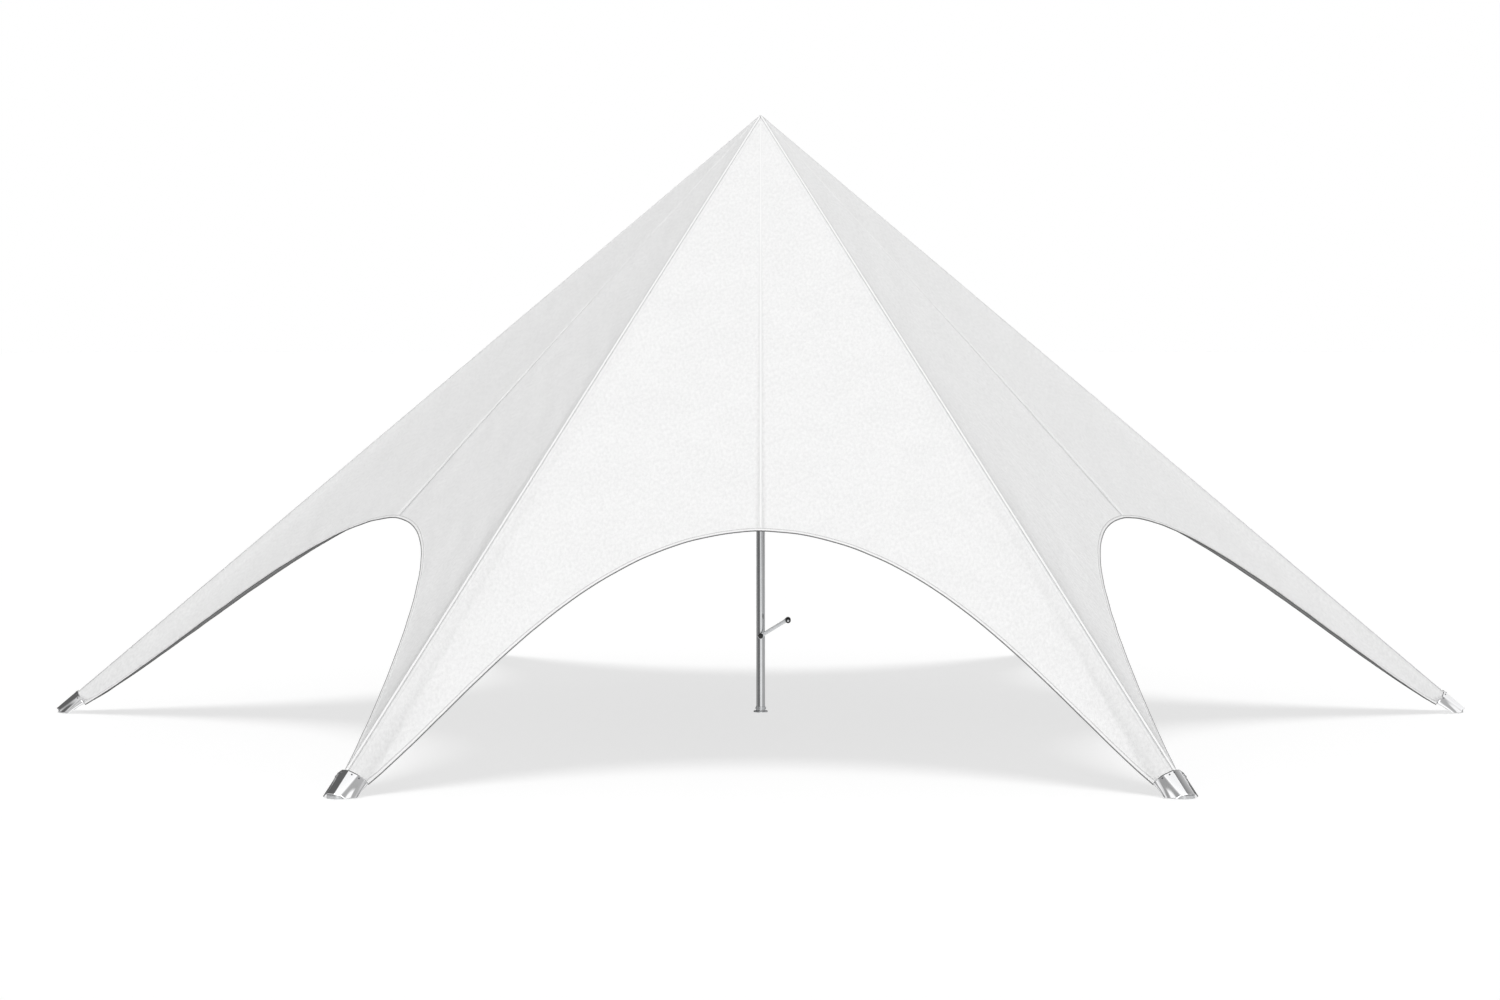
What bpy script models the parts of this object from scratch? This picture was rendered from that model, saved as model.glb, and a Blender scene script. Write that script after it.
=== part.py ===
"""Six-legged star tent on one crank-up mast. Metres, +Z up, the middle of the mast's foot at the origin.

The canopy is six bays between six straight ridges. Each bay is close to a plane through the apex, cut away
below by an arch, and each ridge runs down to a folded metal shoe. A point of a bay is given by its distance
sideways from the bay's middle line, its share of the slope (0 at the apex, 1 at the ground) and its lift out
of the bay's plane.
"""

import math

import bmesh
import bpy
from mathutils import Matrix, Vector

# Canopy
BAYS = 6
HALF_BAY = math.pi / BAYS
FOOT_RADIUS = 7.000  # mast's centre to the point where a ridge meets the ground
APEX_HEIGHT = 5.884
BAY_REACH = FOOT_RADIUS * math.cos(HALF_BAY)
SLOPE_LENGTH = math.hypot(BAY_REACH, APEX_HEIGHT)
ARCH_SHARE = (0.6490, 1.7063, 0.5120, -5.8724)  # by even powers of sideways / FOOT_RADIUS
ARCH_LIFT = (-0.0055, -0.0132, -0.9380, 3.9814)  # times FOOT_RADIUS, by the same powers
ARCH_END = 3.196  # how far sideways an arch runs before its edge reaches the shoe
FABRIC = 0.004
CURL_POWER = 3.0  # how fast the edge's droop dies away towards the apex
ARCH_STATIONS = 13
FOOT_STATIONS = 3
SLOPE_ROWS = 5
TOP_SHARE = 0.020  # the panels and belts start here, below the peak cap
LEG_SHARE = 0.9750  # the panels' ridge ends here, a hand's width under the shoe
SEAM_GAP = 0.0005
CAP_GAP = 0.0020
RIDGE_GAP = 0.0036
TOUCH = 0.0003

# Ridge belts and arch ropes
BELT_HALF = 0.020
BELT = 0.003
BELT_END_SHARE = 0.978
ROPE_RADIUS = 0.010
ROPE_SIDES_LEVEL = 1

# Shoes: half sections across the leg, as (sideways, depth below the ridge), at the upper edge and at the toe
SHOE_SHEET = 0.004
SHOE_TOP_SHARE = 0.9645
SHOE_RAISE = 0.008  # the sheet's outer face above the ridge line
SHOE_TOP = ((0.034, 0.0), (0.077, 0.024), (0.109, 0.048), (0.138, 0.082), (0.152, 0.106), (0.160, 0.124))
SHOE_TOE = ((0.036, 0.0), (0.062, 0.008), (0.090, 0.0155), (0.122, 0.040), (0.150, 0.062), (0.178, 0.082))
SHOE_TOE_WAY = 0.270  # down the leg from the upper edge to the toe
SHOE_RUN = (0.270, 0.270, 0.268, 0.275, 0.246, 0.200)  # how far the sheet runs along each line of the section
SHOE_ROWS = 6
PLATE = 0.030
PLATE_OUTLINE = ((6.968, 0.050), (6.955, 0.076), (6.925, 0.094), (6.880, 0.104), (6.800, 0.106))
PLATE_SLIT = 0.0006  # air between a base plate and the shoe that straddles it

# Mast
TUBE_RADIUS = 0.042
TUBE_WALL = 0.0035
INNER_RADIUS = 0.037
INNER_WALL = 0.003
LOWER_TOP = 3.200
INNER_BOTTOM = 2.300
BASE_RADIUS = 0.070
BASE_THICK = 0.012
SOCKET_RADIUS = 0.0465
SOCKET_HEIGHT = 0.045
COLLAR_RADIUS = 0.054
COLLAR_HEIGHT = 0.070
COLLAR_ABOVE = 0.010  # how far the collar stands above the tube that it sits on
HEAD_RADIUS = 0.125
HEAD_CLEAR = 0.0060  # air between the head's cone and the fabric, square to both
HEAD_TIP_RADIUS = 0.016
HEAD_RIM = 0.012
HEAD_NECK = 0.050
HEAD_NECK_RADIUS = 0.047

# Crank, whose shaft points along -Y; places along the shaft are distances in front of the mast's centre
CRANK_HEIGHT = 0.763
CRANK_THROW = 0.315
CRANK_ANGLE = math.radians(31.4)
HOUSING_RADIUS = 0.031
HOUSING_FRONT = 0.072
HOUSING_BACK = 0.020
HOUSING_EDGE = 0.004
BORE_RADIUS = 0.012
BORE_BACK = 0.048
SHAFT_RADIUS = 0.010
SHAFT_BACK = 0.052
ARM_BACK = 0.078
ARM_THICK = 0.010
ARM_HALF = 0.018
ARM_END_HALF = 0.024
ARM_NECK = 0.045  # from an end's centre to where the bar has its full length's width
HUB_RADIUS = 0.026
HUB_FRONT = 0.112
ROUND_EDGE = 0.005  # chamfer of the hub and the grip
PIN_RADIUS = 0.008
PIN_HEAD = 0.012
PIN_FRONT = 0.236
PIN_BEHIND = 0.004  # how far the pin reaches behind the arm
PIN_HEAD_AIR = 0.005  # between the grip and the pin's head
GRIP_RADIUS = 0.027
GRIP_BORE = 0.0086
GRIP_BACK = 0.0935
GRIP_FRONT = 0.224
ROUND_STEPS = 32
ROUND_END_STEPS = 8


def clear_scene():
    """Removes what the file holds, so that the tent stands alone."""
    for item in list(bpy.data.objects):
        bpy.data.objects.remove(item, do_unlink=True)


def new_collection(name):
    collection = bpy.data.collections.new(name)
    bpy.context.scene.collection.children.link(collection)
    return collection


def material(name, colour, roughness, metallic):
    made = bpy.data.materials.new(name)
    made.use_nodes = True
    shader = made.node_tree.nodes["Principled BSDF"]
    shader.inputs["Base Color"].default_value = (*colour, 1.0)
    shader.inputs["Roughness"].default_value = roughness
    shader.inputs["Metallic"].default_value = metallic
    return made


def add_object(name, data, finish, collection):
    made = bpy.data.objects.new(name, data)
    collection.objects.link(made)
    if finish is not None:
        data.materials.append(finish)
    return made


def mesh_from(name, build):
    """A mesh that the function build fills through a bmesh."""
    mesh = bpy.data.meshes.new(name)
    work = bmesh.new()
    build(work)
    work.to_mesh(mesh)
    work.free()
    return mesh


def add_grid(work, rows):
    """Joins equal rows of points into quads."""
    vertices = [[work.verts.new(point) for point in row] for row in rows]
    for upper, lower in zip(vertices, vertices[1:]):
        for column in range(len(upper) - 1):
            work.faces.new((upper[column], lower[column], lower[column + 1], upper[column + 1]))


def solidify(item, thickness):
    """Gives an open surface its thickness, on its inner side."""
    shell = item.modifiers.new("thickness", "SOLIDIFY")
    shell.thickness = thickness
    shell.offset = -1.0
    shell.use_even_offset = True


def cut(item, cutter):
    boolean = item.modifiers.new("cut", "BOOLEAN")
    boolean.operation = "DIFFERENCE"
    boolean.solver = "EXACT"
    boolean.object = cutter


def even_powers(terms, ratio):
    return sum(term * ratio ** (2 * power) for power, term in enumerate(terms))


def arch_edge(sideways):
    """Share of the slope and lift of a bay's arch edge, at a distance sideways."""
    ratio = sideways / FOOT_RADIUS
    return even_powers(ARCH_SHARE, ratio), FOOT_RADIUS * even_powers(ARCH_LIFT, ratio)


def arch_inset(sideways, inset):
    """A point of the bay that lies inset inside the arch's edge: sideways, share and lift."""
    step = 0.001
    share, lift = arch_edge(sideways)
    rise = SLOPE_LENGTH * (arch_edge(sideways + step)[0] - arch_edge(sideways - step)[0]) / (2 * step)
    square = math.hypot(1.0, rise)
    return sideways + inset * rise / square, share - inset / square / SLOPE_LENGTH, lift


def bay_point(azimuth, sideways, share, lift):
    """World position of a point of the bay whose middle line runs out along azimuth."""
    outward = Vector((math.cos(azimuth), math.sin(azimuth), 0.0))
    across = Vector((-math.sin(azimuth), math.cos(azimuth), 0.0))
    normal = (outward * APEX_HEIGHT + Vector((0.0, 0.0, BAY_REACH))).normalized()
    height = Vector((0.0, 0.0, APEX_HEIGHT * (1.0 - share)))
    return outward * (BAY_REACH * share) + across * sideways + height + normal * lift


def panel_boundary():
    """The lower boundary of a half bay, from the middle of the arch to the ridge."""
    inset = 2 * ROPE_RADIUS + SEAM_GAP
    last = ARCH_STATIONS - 1
    arch = [arch_inset(ARCH_END * (i / last) ** 0.9, inset) for i in range(ARCH_STATIONS)]
    end_side, end_share, end_lift = arch[-1]
    ridge_side = LEG_SHARE * FOOT_RADIUS * math.sin(HALF_BAY)
    foot = []
    for i in range(1, FOOT_STATIONS + 1):
        way = i / FOOT_STATIONS
        side = end_side + (ridge_side - end_side) * way
        share = end_share + (LEG_SHARE - end_share) * way
        foot.append((side, share, end_lift * (1.0 - way) ** 1.5))
    return arch + foot


def make_panel(name, azimuth, side, finish, collection):
    """Half a bay of fabric: straight lines fanned out from the apex to the lower boundary."""
    boundary = panel_boundary()
    rows = []
    for i in range(SLOPE_ROWS + 1):
        row = []
        for number, (sideways, share, lift) in enumerate(boundary):
            top = TOP_SHARE / share
            reach = top + (1.0 - top) * i / SLOPE_ROWS
            across = max(reach * sideways, SEAM_GAP)
            if number == len(boundary) - 1:
                across -= RIDGE_GAP
            row.append(bay_point(azimuth, side * across, reach * share, lift * reach**CURL_POWER))
        rows.append(row if side > 0 else row[::-1])
    mesh = mesh_from(name, lambda work: add_grid(work, rows))
    mesh.shade_smooth()
    panel = add_object(name, mesh, finish, collection)
    solidify(panel, FABRIC)
    return panel


def ridge_frame(azimuth):
    """Directions at a ridge: down along it, across it and square out of it."""
    outward = Vector((math.cos(azimuth), math.sin(azimuth), 0.0))
    across = Vector((-math.sin(azimuth), math.cos(azimuth), 0.0))
    along = (outward * FOOT_RADIUS - Vector((0.0, 0.0, APEX_HEIGHT))).normalized()
    return along, across, along.cross(across)


def ridge_point(azimuth, share):
    outward = Vector((math.cos(azimuth), math.sin(azimuth), 0.0))
    return outward * (FOOT_RADIUS * share) + Vector((0.0, 0.0, APEX_HEIGHT * (1.0 - share)))


def ridge_fall():
    """Depth below the ridge for each metre across it, in the plane square to the ridge."""
    along, across, out = ridge_frame(0.0)
    normal = Vector((APEX_HEIGHT * math.cos(HALF_BAY), APEX_HEIGHT * math.sin(HALF_BAY), BAY_REACH))
    return normal.dot(across) / normal.dot(out)


def make_belt(name, azimuth, finish, collection):
    """Webbing laid over a ridge, folded along its middle and carried down under the shoe."""
    along, across, out = ridge_frame(azimuth)
    fall = ridge_fall()
    slant = math.hypot(1.0, fall)
    low = TOUCH * slant
    high = (TOUCH + BELT) * slant
    half = BELT_HALF / slant
    section = (
        (-half, low - fall * half),
        (-half, high - fall * half),
        (0.0, high),
        (half, high - fall * half),
        (half, low - fall * half),
        (0.0, low),
    )

    def build(work):
        ends = []
        for share in (TOP_SHARE, BELT_END_SHARE):
            base = ridge_point(azimuth, share)
            ends.append([work.verts.new(base + across * side + out * rise) for side, rise in section])
        top, bottom = ends
        count = len(section)
        for i in range(count):
            work.faces.new((top[i], top[(i + 1) % count], bottom[(i + 1) % count], bottom[i]))
        for end in ends:
            for half in ((0, 1, 2, 5), (2, 3, 4, 5)):
                work.faces.new([end[i] for i in half])
        bmesh.ops.recalc_face_normals(work, faces=work.faces)

    return add_object(name, mesh_from(name, build), finish, collection)


def make_arch_rope(name, azimuth, finish, collection):
    """The rope pocket that edges an arch from one leg to the next."""
    curve = bpy.data.curves.new(name, "CURVE")
    curve.dimensions = "3D"
    curve.bevel_depth = ROPE_RADIUS
    curve.bevel_resolution = ROPE_SIDES_LEVEL
    curve.use_fill_caps = True
    spline = curve.splines.new("POLY")
    count = 2 * ARCH_STATIONS - 1
    spline.points.add(count - 1)
    for number, point in enumerate(spline.points):
        way = 2.0 * number / (count - 1) - 1.0
        sideways = math.copysign(ARCH_END * abs(way) ** 0.9, way)
        place = bay_point(azimuth, *arch_inset(sideways, ROPE_RADIUS))
        drop = bay_point(azimuth, 0.0, 0.0, -FABRIC / 2) - bay_point(azimuth, 0.0, 0.0, 0.0)
        point.co = (*(place + drop), 1.0)
    return add_object(name, curve, finish, collection)


def make_peak_cap(name, finish, collection):
    """The six-sided fabric cap that closes the apex above the panels."""
    reach = TOP_SHARE - CAP_GAP / SLOPE_LENGTH

    def build(work):
        tip = work.verts.new((0.0, 0.0, APEX_HEIGHT))
        rim = [work.verts.new(ridge_point(i * 2 * HALF_BAY, reach)) for i in range(BAYS)]
        for i in range(BAYS):
            work.faces.new((tip, rim[i], rim[(i + 1) % BAYS]))

    cap = add_object(name, mesh_from(name, build), finish, collection)
    solidify(cap, FABRIC)
    return cap


def shoe_row(share):
    """(Way down the leg, sideways, depth) across the shoe's sheet, at a share of each line's run."""
    half = []
    for top, toe, run in zip(SHOE_TOP, SHOE_TOE, SHOE_RUN):
        way = run * share
        mix = way / SHOE_TOE_WAY
        half.append((way, top[0] + (toe[0] - top[0]) * mix, top[1] + (toe[1] - top[1]) * mix))
    return [(way, -side, depth) for way, side, depth in half[::-1]] + half


def make_shoe(name, azimuth, cutter, finish, collection):
    """The folded sheet metal hood over the end of a leg, trimmed where it meets its base plate."""
    along, across, out = ridge_frame(azimuth)
    start = ridge_point(azimuth, SHOE_TOP_SHARE)
    rows = [[start + along * way + across * side + out * (SHOE_RAISE - depth)
             for way, side, depth in shoe_row(i / SHOE_ROWS)] for i in range(SHOE_ROWS + 1)]
    shoe = add_object(name, mesh_from(name, lambda work: add_grid(work, rows)), finish, collection)
    solidify(shoe, SHOE_SHEET)
    cut(shoe, cutter)
    return shoe


def plate_outline():
    return list(PLATE_OUTLINE) + [(x, -y) for x, y in PLATE_OUTLINE[::-1]]


def make_plate_cutter(name, azimuth, collection):
    """The space that a base plate needs in its shoe: its outline a hair larger, down past the ground."""
    middle = sum(x for x, y in PLATE_OUTLINE) / len(PLATE_OUTLINE)
    grown = [(x + math.copysign(PLATE_SLIT, x - middle), y + math.copysign(PLATE_SLIT, y))
             for x, y in plate_outline()]

    def build(work):
        low = [work.verts.new((x, y, -PLATE)) for x, y in grown]
        face = work.faces.new(low)
        raised = bmesh.ops.extrude_face_region(work, geom=[face])["geom"]
        top = [item for item in raised if isinstance(item, bmesh.types.BMVert)]
        bmesh.ops.translate(work, vec=(0.0, 0.0, 2 * PLATE + PLATE_SLIT), verts=top)
        bmesh.ops.recalc_face_normals(work, faces=work.faces)

    cutter = as_cutter(add_object(name, mesh_from(name, build), None, collection))
    cutter.rotation_euler = (0.0, 0.0, azimuth)
    return cutter


def as_cutter(item):
    item.hide_render = True
    item.display_type = "WIRE"
    return item


def flat_outline(name, outline, thickness, finish, collection, holes=()):
    """A flat plate of the given outline in its own XY plane, with round holes (x, y, radius)."""
    curve = bpy.data.curves.new(name, "CURVE")
    curve.dimensions = "2D"
    curve.fill_mode = "BOTH"
    curve.extrude = thickness / 2
    loops = [list(outline)]
    for centre_x, centre_y, radius in holes:
        turns = [2 * math.pi * i / ROUND_STEPS for i in range(ROUND_STEPS)]
        loops.append([(centre_x + radius * math.cos(t), centre_y + radius * math.sin(t)) for t in turns])
    for loop in loops:
        spline = curve.splines.new("POLY")
        spline.points.add(len(loop) - 1)
        for point, (x, y) in zip(spline.points, loop):
            point.co = (x, y, 0.0, 1.0)
        spline.use_cyclic_u = True
    return add_object(name, curve, finish, collection)


def make_foot_plate(name, azimuth, finish, collection):
    """The flat plate that a shoe stands on, a little longer than the shoe at the toe."""
    plate = flat_outline(name, plate_outline(), PLATE, finish, collection)
    plate.matrix_world = Matrix.Rotation(azimuth, 4, "Z") @ Matrix.Translation((0.0, 0.0, PLATE / 2))
    return plate


def turned(name, profile, finish, collection, closed=False):
    """A profile of (radius, height), read down its outer side, turned about the Z axis."""

    def build(work):
        vertices = [work.verts.new((radius, 0.0, height)) for radius, height in profile]
        for first, second in zip(vertices, vertices[1:]):
            work.edges.new((first, second))
        if closed:
            work.edges.new((vertices[-1], vertices[0]))

    item = add_object(name, mesh_from(name, build), finish, collection)
    screw = item.modifiers.new("turn", "SCREW")
    screw.steps = ROUND_STEPS
    screw.render_steps = ROUND_STEPS
    screw.use_merge_vertices = True
    screw.merge_threshold = 0.00001
    screw.use_smooth_shade = True
    return item


def tube_profile(outer, inner, top, bottom):
    return [(outer, top), (outer, bottom), (inner, bottom), (inner, top)]


def make_mast(finishes, collection):
    """The base, the two tubes that slide one in the other, the collar between them and the head."""
    steel = finishes["steel"]
    tube = finishes["aluminium"]
    bore = TUBE_RADIUS - TUBE_WALL
    socket_bore = TUBE_RADIUS + TOUCH
    socket_top = BASE_THICK + TOUCH + SOCKET_HEIGHT
    lower_bottom = BASE_THICK + TOUCH
    turned("mast_base_plate", [(0.0, BASE_THICK), (BASE_RADIUS, BASE_THICK), (BASE_RADIUS, 0.0), (0.0, 0.0)],
           steel, collection)
    turned("mast_base_socket", tube_profile(SOCKET_RADIUS, socket_bore, socket_top, BASE_THICK + TOUCH),
           steel, collection, closed=True)
    turned("mast_lower_tube", tube_profile(TUBE_RADIUS, bore, LOWER_TOP, lower_bottom),
           tube, collection, closed=True)
    collar_top = LOWER_TOP + COLLAR_ABOVE
    collar_bottom = collar_top - COLLAR_HEIGHT
    turned("mast_guide_collar",
           [(COLLAR_RADIUS, collar_top), (COLLAR_RADIUS, collar_bottom), (TUBE_RADIUS + TOUCH, collar_bottom),
            (TUBE_RADIUS + TOUCH, LOWER_TOP + TOUCH), (bore, LOWER_TOP + TOUCH), (bore, collar_top)],
           finishes["black"], collection, closed=True)
    make_mast_top(finishes, collection)


def head_line(radius):
    """Height of the head's cone at a radius: under the fabric's inner face by the head's air gap."""
    slant = SLOPE_LENGTH / BAY_REACH
    return APEX_HEIGHT - radius * APEX_HEIGHT / BAY_REACH - (FABRIC + HEAD_CLEAR) * slant


def make_mast_top(finishes, collection):
    """The inner tube and the cone-shaped head on it, which rise and sink together."""
    rim_top = head_line(HEAD_RADIUS)
    tip_top = head_line(HEAD_TIP_RADIUS)
    rim_bottom = rim_top - HEAD_RIM
    neck_bottom = rim_bottom - HEAD_NECK
    bore = INNER_RADIUS + TOUCH
    turned("mast_head",
           [(0.0, tip_top), (HEAD_TIP_RADIUS, tip_top), (HEAD_RADIUS, rim_top), (HEAD_RADIUS, rim_bottom),
            (HEAD_NECK_RADIUS, rim_bottom), (HEAD_NECK_RADIUS, neck_bottom),
            (bore, neck_bottom), (bore, rim_bottom + TOUCH), (0.0, rim_bottom + TOUCH)],
           finishes["aluminium"], collection)
    turned("mast_upper_tube", tube_profile(INNER_RADIUS, INNER_RADIUS - INNER_WALL, rim_bottom, INNER_BOTTOM),
           finishes["aluminium"], collection, closed=True)


def towards_front(item, side=0.0, height=CRANK_HEIGHT):
    """Stands a piece turned about Z on the crank's axis, its +Z side to the front."""
    item.matrix_world = Matrix.Translation((side, 0.0, height)) @ Matrix.Rotation(math.pi / 2, 4, "X")
    return item


def make_crank_housing(finishes, collection, cutters):
    """The gear housing on the front of the lower tube, with the bore for the crank's shaft."""
    housing = towards_front(turned(
        "crank_housing",
        [(0.0, BORE_BACK), (BORE_RADIUS, BORE_BACK), (BORE_RADIUS, HOUSING_FRONT),
         (HOUSING_RADIUS - HOUSING_EDGE, HOUSING_FRONT), (HOUSING_RADIUS, HOUSING_FRONT - HOUSING_EDGE),
         (HOUSING_RADIUS, HOUSING_BACK), (0.0, HOUSING_BACK)],
        finishes["steel"], collection))

    def build(work):
        bmesh.ops.create_cone(work, cap_ends=True, segments=2 * ROUND_STEPS, depth=8 * HOUSING_RADIUS,
                              radius1=TUBE_RADIUS + TOUCH, radius2=TUBE_RADIUS + TOUCH)

    cutter = as_cutter(add_object("tube_cutter", mesh_from("tube_cutter", build), None, cutters))
    cutter.location = (0.0, 0.0, CRANK_HEIGHT)
    cut(housing, cutter)


def arm_outline():
    """The crank arm's outline along +X: a bar between two round ends."""
    points = []
    for centre, sign in ((CRANK_THROW, 1.0), (0.0, -1.0)):
        for i in range(ROUND_END_STEPS + 1):
            turn = -math.pi / 2 + math.pi * i / ROUND_END_STEPS
            points.append((centre + sign * ARM_END_HALF * math.cos(turn), sign * ARM_END_HALF * math.sin(turn)))
        near = abs(centre - ARM_NECK)
        points.append((near, sign * ARM_HALF))
        points.append((CRANK_THROW - near, sign * ARM_HALF))
    return points


def make_crank(finishes, collection):
    """The hub, the arm and the grip on its pin. The arm turns about the hub's axis."""
    seat = ARM_BACK + ARM_THICK + TOUCH
    hub = [(0.0, HUB_FRONT), (HUB_RADIUS - ROUND_EDGE, HUB_FRONT), (HUB_RADIUS, HUB_FRONT - ROUND_EDGE),
           (HUB_RADIUS, seat), (SHAFT_RADIUS, seat), (SHAFT_RADIUS, SHAFT_BACK), (0.0, SHAFT_BACK)]
    towards_front(turned("crank_hub", hub, finishes["black"], collection))
    arm = flat_outline("crank_arm", arm_outline(), ARM_THICK, finishes["steel"], collection,
                       holes=((0.0, 0.0, SHAFT_RADIUS + TOUCH), (CRANK_THROW, 0.0, PIN_RADIUS + TOUCH)))
    lie_back = Matrix.Rotation(math.pi / 2, 4, "X")
    tilt = Matrix.Rotation(CRANK_ANGLE, 4, "Z")
    arm.matrix_world = (Matrix.Translation((0.0, -ARM_BACK - ARM_THICK / 2, CRANK_HEIGHT)) @ lie_back @ tilt)
    grip_side = CRANK_THROW * math.cos(CRANK_ANGLE)
    grip_height = CRANK_HEIGHT + CRANK_THROW * math.sin(CRANK_ANGLE)
    head_back = GRIP_FRONT + PIN_HEAD_AIR
    pin_back = ARM_BACK - PIN_BEHIND
    pin = [(0.0, PIN_FRONT), (PIN_HEAD, PIN_FRONT), (PIN_HEAD, head_back), (PIN_RADIUS, head_back),
           (PIN_RADIUS, pin_back), (0.0, pin_back)]
    towards_front(turned("grip_pin", pin, finishes["steel"], collection), grip_side, grip_height)
    rim = GRIP_RADIUS - ROUND_EDGE
    grip = [(rim, GRIP_FRONT), (GRIP_RADIUS, GRIP_FRONT - ROUND_EDGE), (GRIP_RADIUS, GRIP_BACK + ROUND_EDGE),
            (rim, GRIP_BACK), (GRIP_BORE, GRIP_BACK), (GRIP_BORE, GRIP_FRONT)]
    towards_front(turned("crank_grip", grip, finishes["black"], collection, closed=True),
                  grip_side, grip_height)


def make_finishes():
    return {
        "fabric": material("white_fabric", (0.86, 0.86, 0.86), 0.85, 0.0),
        "webbing": material("white_webbing", (0.90, 0.90, 0.90), 0.80, 0.0),
        "rope": material("grey_edge_rope", (0.62, 0.62, 0.62), 0.85, 0.0),
        "shoe": material("polished_shoe_steel", (0.78, 0.78, 0.79), 0.18, 1.0),
        "plate": material("zinc_plated_steel", (0.70, 0.71, 0.72), 0.40, 1.0),
        "aluminium": material("brushed_aluminium", (0.74, 0.75, 0.76), 0.32, 1.0),
        "steel": material("brushed_steel", (0.58, 0.59, 0.60), 0.38, 1.0),
        "black": material("black_plastic", (0.03, 0.03, 0.03), 0.50, 0.0),
    }


def main():
    clear_scene()
    parts = new_collection("star_tent")
    cutters = new_collection("cutters")
    finishes = make_finishes()
    for number in range(BAYS):
        bay = (2 * number + 1) * HALF_BAY
        leg = 2 * number * HALF_BAY
        label = number + 1
        make_panel(f"canopy_panel_{label}_right", bay, 1.0, finishes["fabric"], parts)
        make_panel(f"canopy_panel_{label}_left", bay, -1.0, finishes["fabric"], parts)
        make_arch_rope(f"arch_edge_{label}", bay, finishes["rope"], parts)
        make_belt(f"ridge_belt_{label}", leg, finishes["webbing"], parts)
        slot = make_plate_cutter(f"plate_cutter_{label}", leg, cutters)
        make_shoe(f"leg_shoe_{label}", leg, slot, finishes["shoe"], parts)
        make_foot_plate(f"foot_plate_{label}", leg, finishes["plate"], parts)
    make_peak_cap("peak_cap", finishes["fabric"], parts)
    make_mast(finishes, parts)
    make_crank_housing(finishes, parts, cutters)
    make_crank(finishes, parts)


main()
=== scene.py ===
"""Looks of a white six-legged star tent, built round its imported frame. Metres, +Z up, mast on the origin.

Leg k stands at azimuth 60 (k - 1) degrees and bay k's middle line at 30 + 60 (k - 1) degrees. A point of a
bay is given by its distance sideways from the bay's middle line, its share of the slope from the apex (0) to
the ground (1), and its lift out of the bay's plane.
"""

import logging
import math
from dataclasses import dataclass
from enum import Enum
from typing import Any

import bmesh
import bpy
import numpy as np
from numpy.typing import NDArray
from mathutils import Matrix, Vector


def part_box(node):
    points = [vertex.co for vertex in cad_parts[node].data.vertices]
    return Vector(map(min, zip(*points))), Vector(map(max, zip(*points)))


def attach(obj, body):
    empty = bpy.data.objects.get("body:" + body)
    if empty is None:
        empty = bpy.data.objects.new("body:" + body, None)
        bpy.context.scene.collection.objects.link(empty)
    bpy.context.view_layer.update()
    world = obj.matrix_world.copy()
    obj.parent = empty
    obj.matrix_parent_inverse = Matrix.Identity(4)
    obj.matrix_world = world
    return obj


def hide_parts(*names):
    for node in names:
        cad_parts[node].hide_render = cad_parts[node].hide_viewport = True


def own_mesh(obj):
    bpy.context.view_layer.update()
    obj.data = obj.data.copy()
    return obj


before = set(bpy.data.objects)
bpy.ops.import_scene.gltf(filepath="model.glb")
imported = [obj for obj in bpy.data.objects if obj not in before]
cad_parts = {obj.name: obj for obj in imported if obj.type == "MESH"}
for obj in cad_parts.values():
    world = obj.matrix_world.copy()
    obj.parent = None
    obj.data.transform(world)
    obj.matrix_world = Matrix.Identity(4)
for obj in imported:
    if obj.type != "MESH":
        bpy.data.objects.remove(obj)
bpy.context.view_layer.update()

Array = NDArray[np.float64]
Triple = tuple[float, float, float]
log = logging.getLogger("star_tent")
UP = np.array((0.0, 0.0, 1.0))
WHITE = (1.0, 1.0, 1.0, 1.0)
PLAY = 0.0003  # air between metal pieces that touch


class Slot(Enum):
    """The record's material slots."""

    FABRIC = "canopy_fabric"
    WEBBING = "webbing"
    ROPE = "edge_rope"
    SHOE = "shoe_steel"
    PLATE = "plate_steel"
    ALUMINIUM = "mast_aluminium"
    STEEL = "brushed_steel"
    BLACK = "black_plastic"


class Body(Enum):
    """The bodies that a piece can ride on."""

    BASE = "base"
    MAST_TOP = "mast_top"
    CRANK = "crank"
    GRIP = "grip"


class Side(Enum):
    """The two halves of a bay, by the sign of their distance sideways."""

    RIGHT = 1
    LEFT = -1


class Head(Enum):
    """Shapes of a fastener's head."""

    BUTTON = "button"
    HEXAGON = "hexagon"


# Surfaces


@dataclass
class Surface:
    """A grid of points that becomes quads.

    Its rows and columns are the two parameters of the shape. Outside is where rows (down) crossed with
    columns (to the right) points.
    """

    points: Array
    uv: Array

    def flipped(self) -> "Surface":
        """The same surface seen from its other side."""
        return Surface(self.points[:, ::-1], self.uv[:, ::-1])

    def moved(self, offset: Array) -> "Surface":
        """The surface shifted by an offset."""
        return Surface(self.points + offset, self.uv)

    def aimed(self, origin: Array, normal: Array) -> "Surface":
        """The surface with its own +Z turned to a normal and its origin put at a point.

        Args:
            origin: where the surface's own origin goes.
            normal: unit direction of its own +Z.

        Returns:
            The placed surface. Its own axes become side = helper x normal, normal x side and normal, where
            helper is the world axis least along the normal.
        """
        helper = np.eye(3)[int(np.argmin(np.abs(normal)))]
        side = np.cross(helper, normal)
        side = side / np.linalg.norm(side)
        turn = np.stack((side, np.cross(normal, side), normal))
        return Surface(self.points @ turn + origin, self.uv)

    def facing_front(self, side: float, height: float) -> "Surface":
        """The surface with its own +Z towards the front (-Y), stood at a side and height."""
        x, y, z = np.moveaxis(self.points, -1, 0)
        return Surface(np.stack((x + side, -z, y + height), axis=-1), self.uv)

    def spun(self, angle: float) -> "Surface":
        """The surface turned about Z by an angle."""
        return Surface(self.points @ np.stack((*compass(angle), UP)), self.uv)


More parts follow.
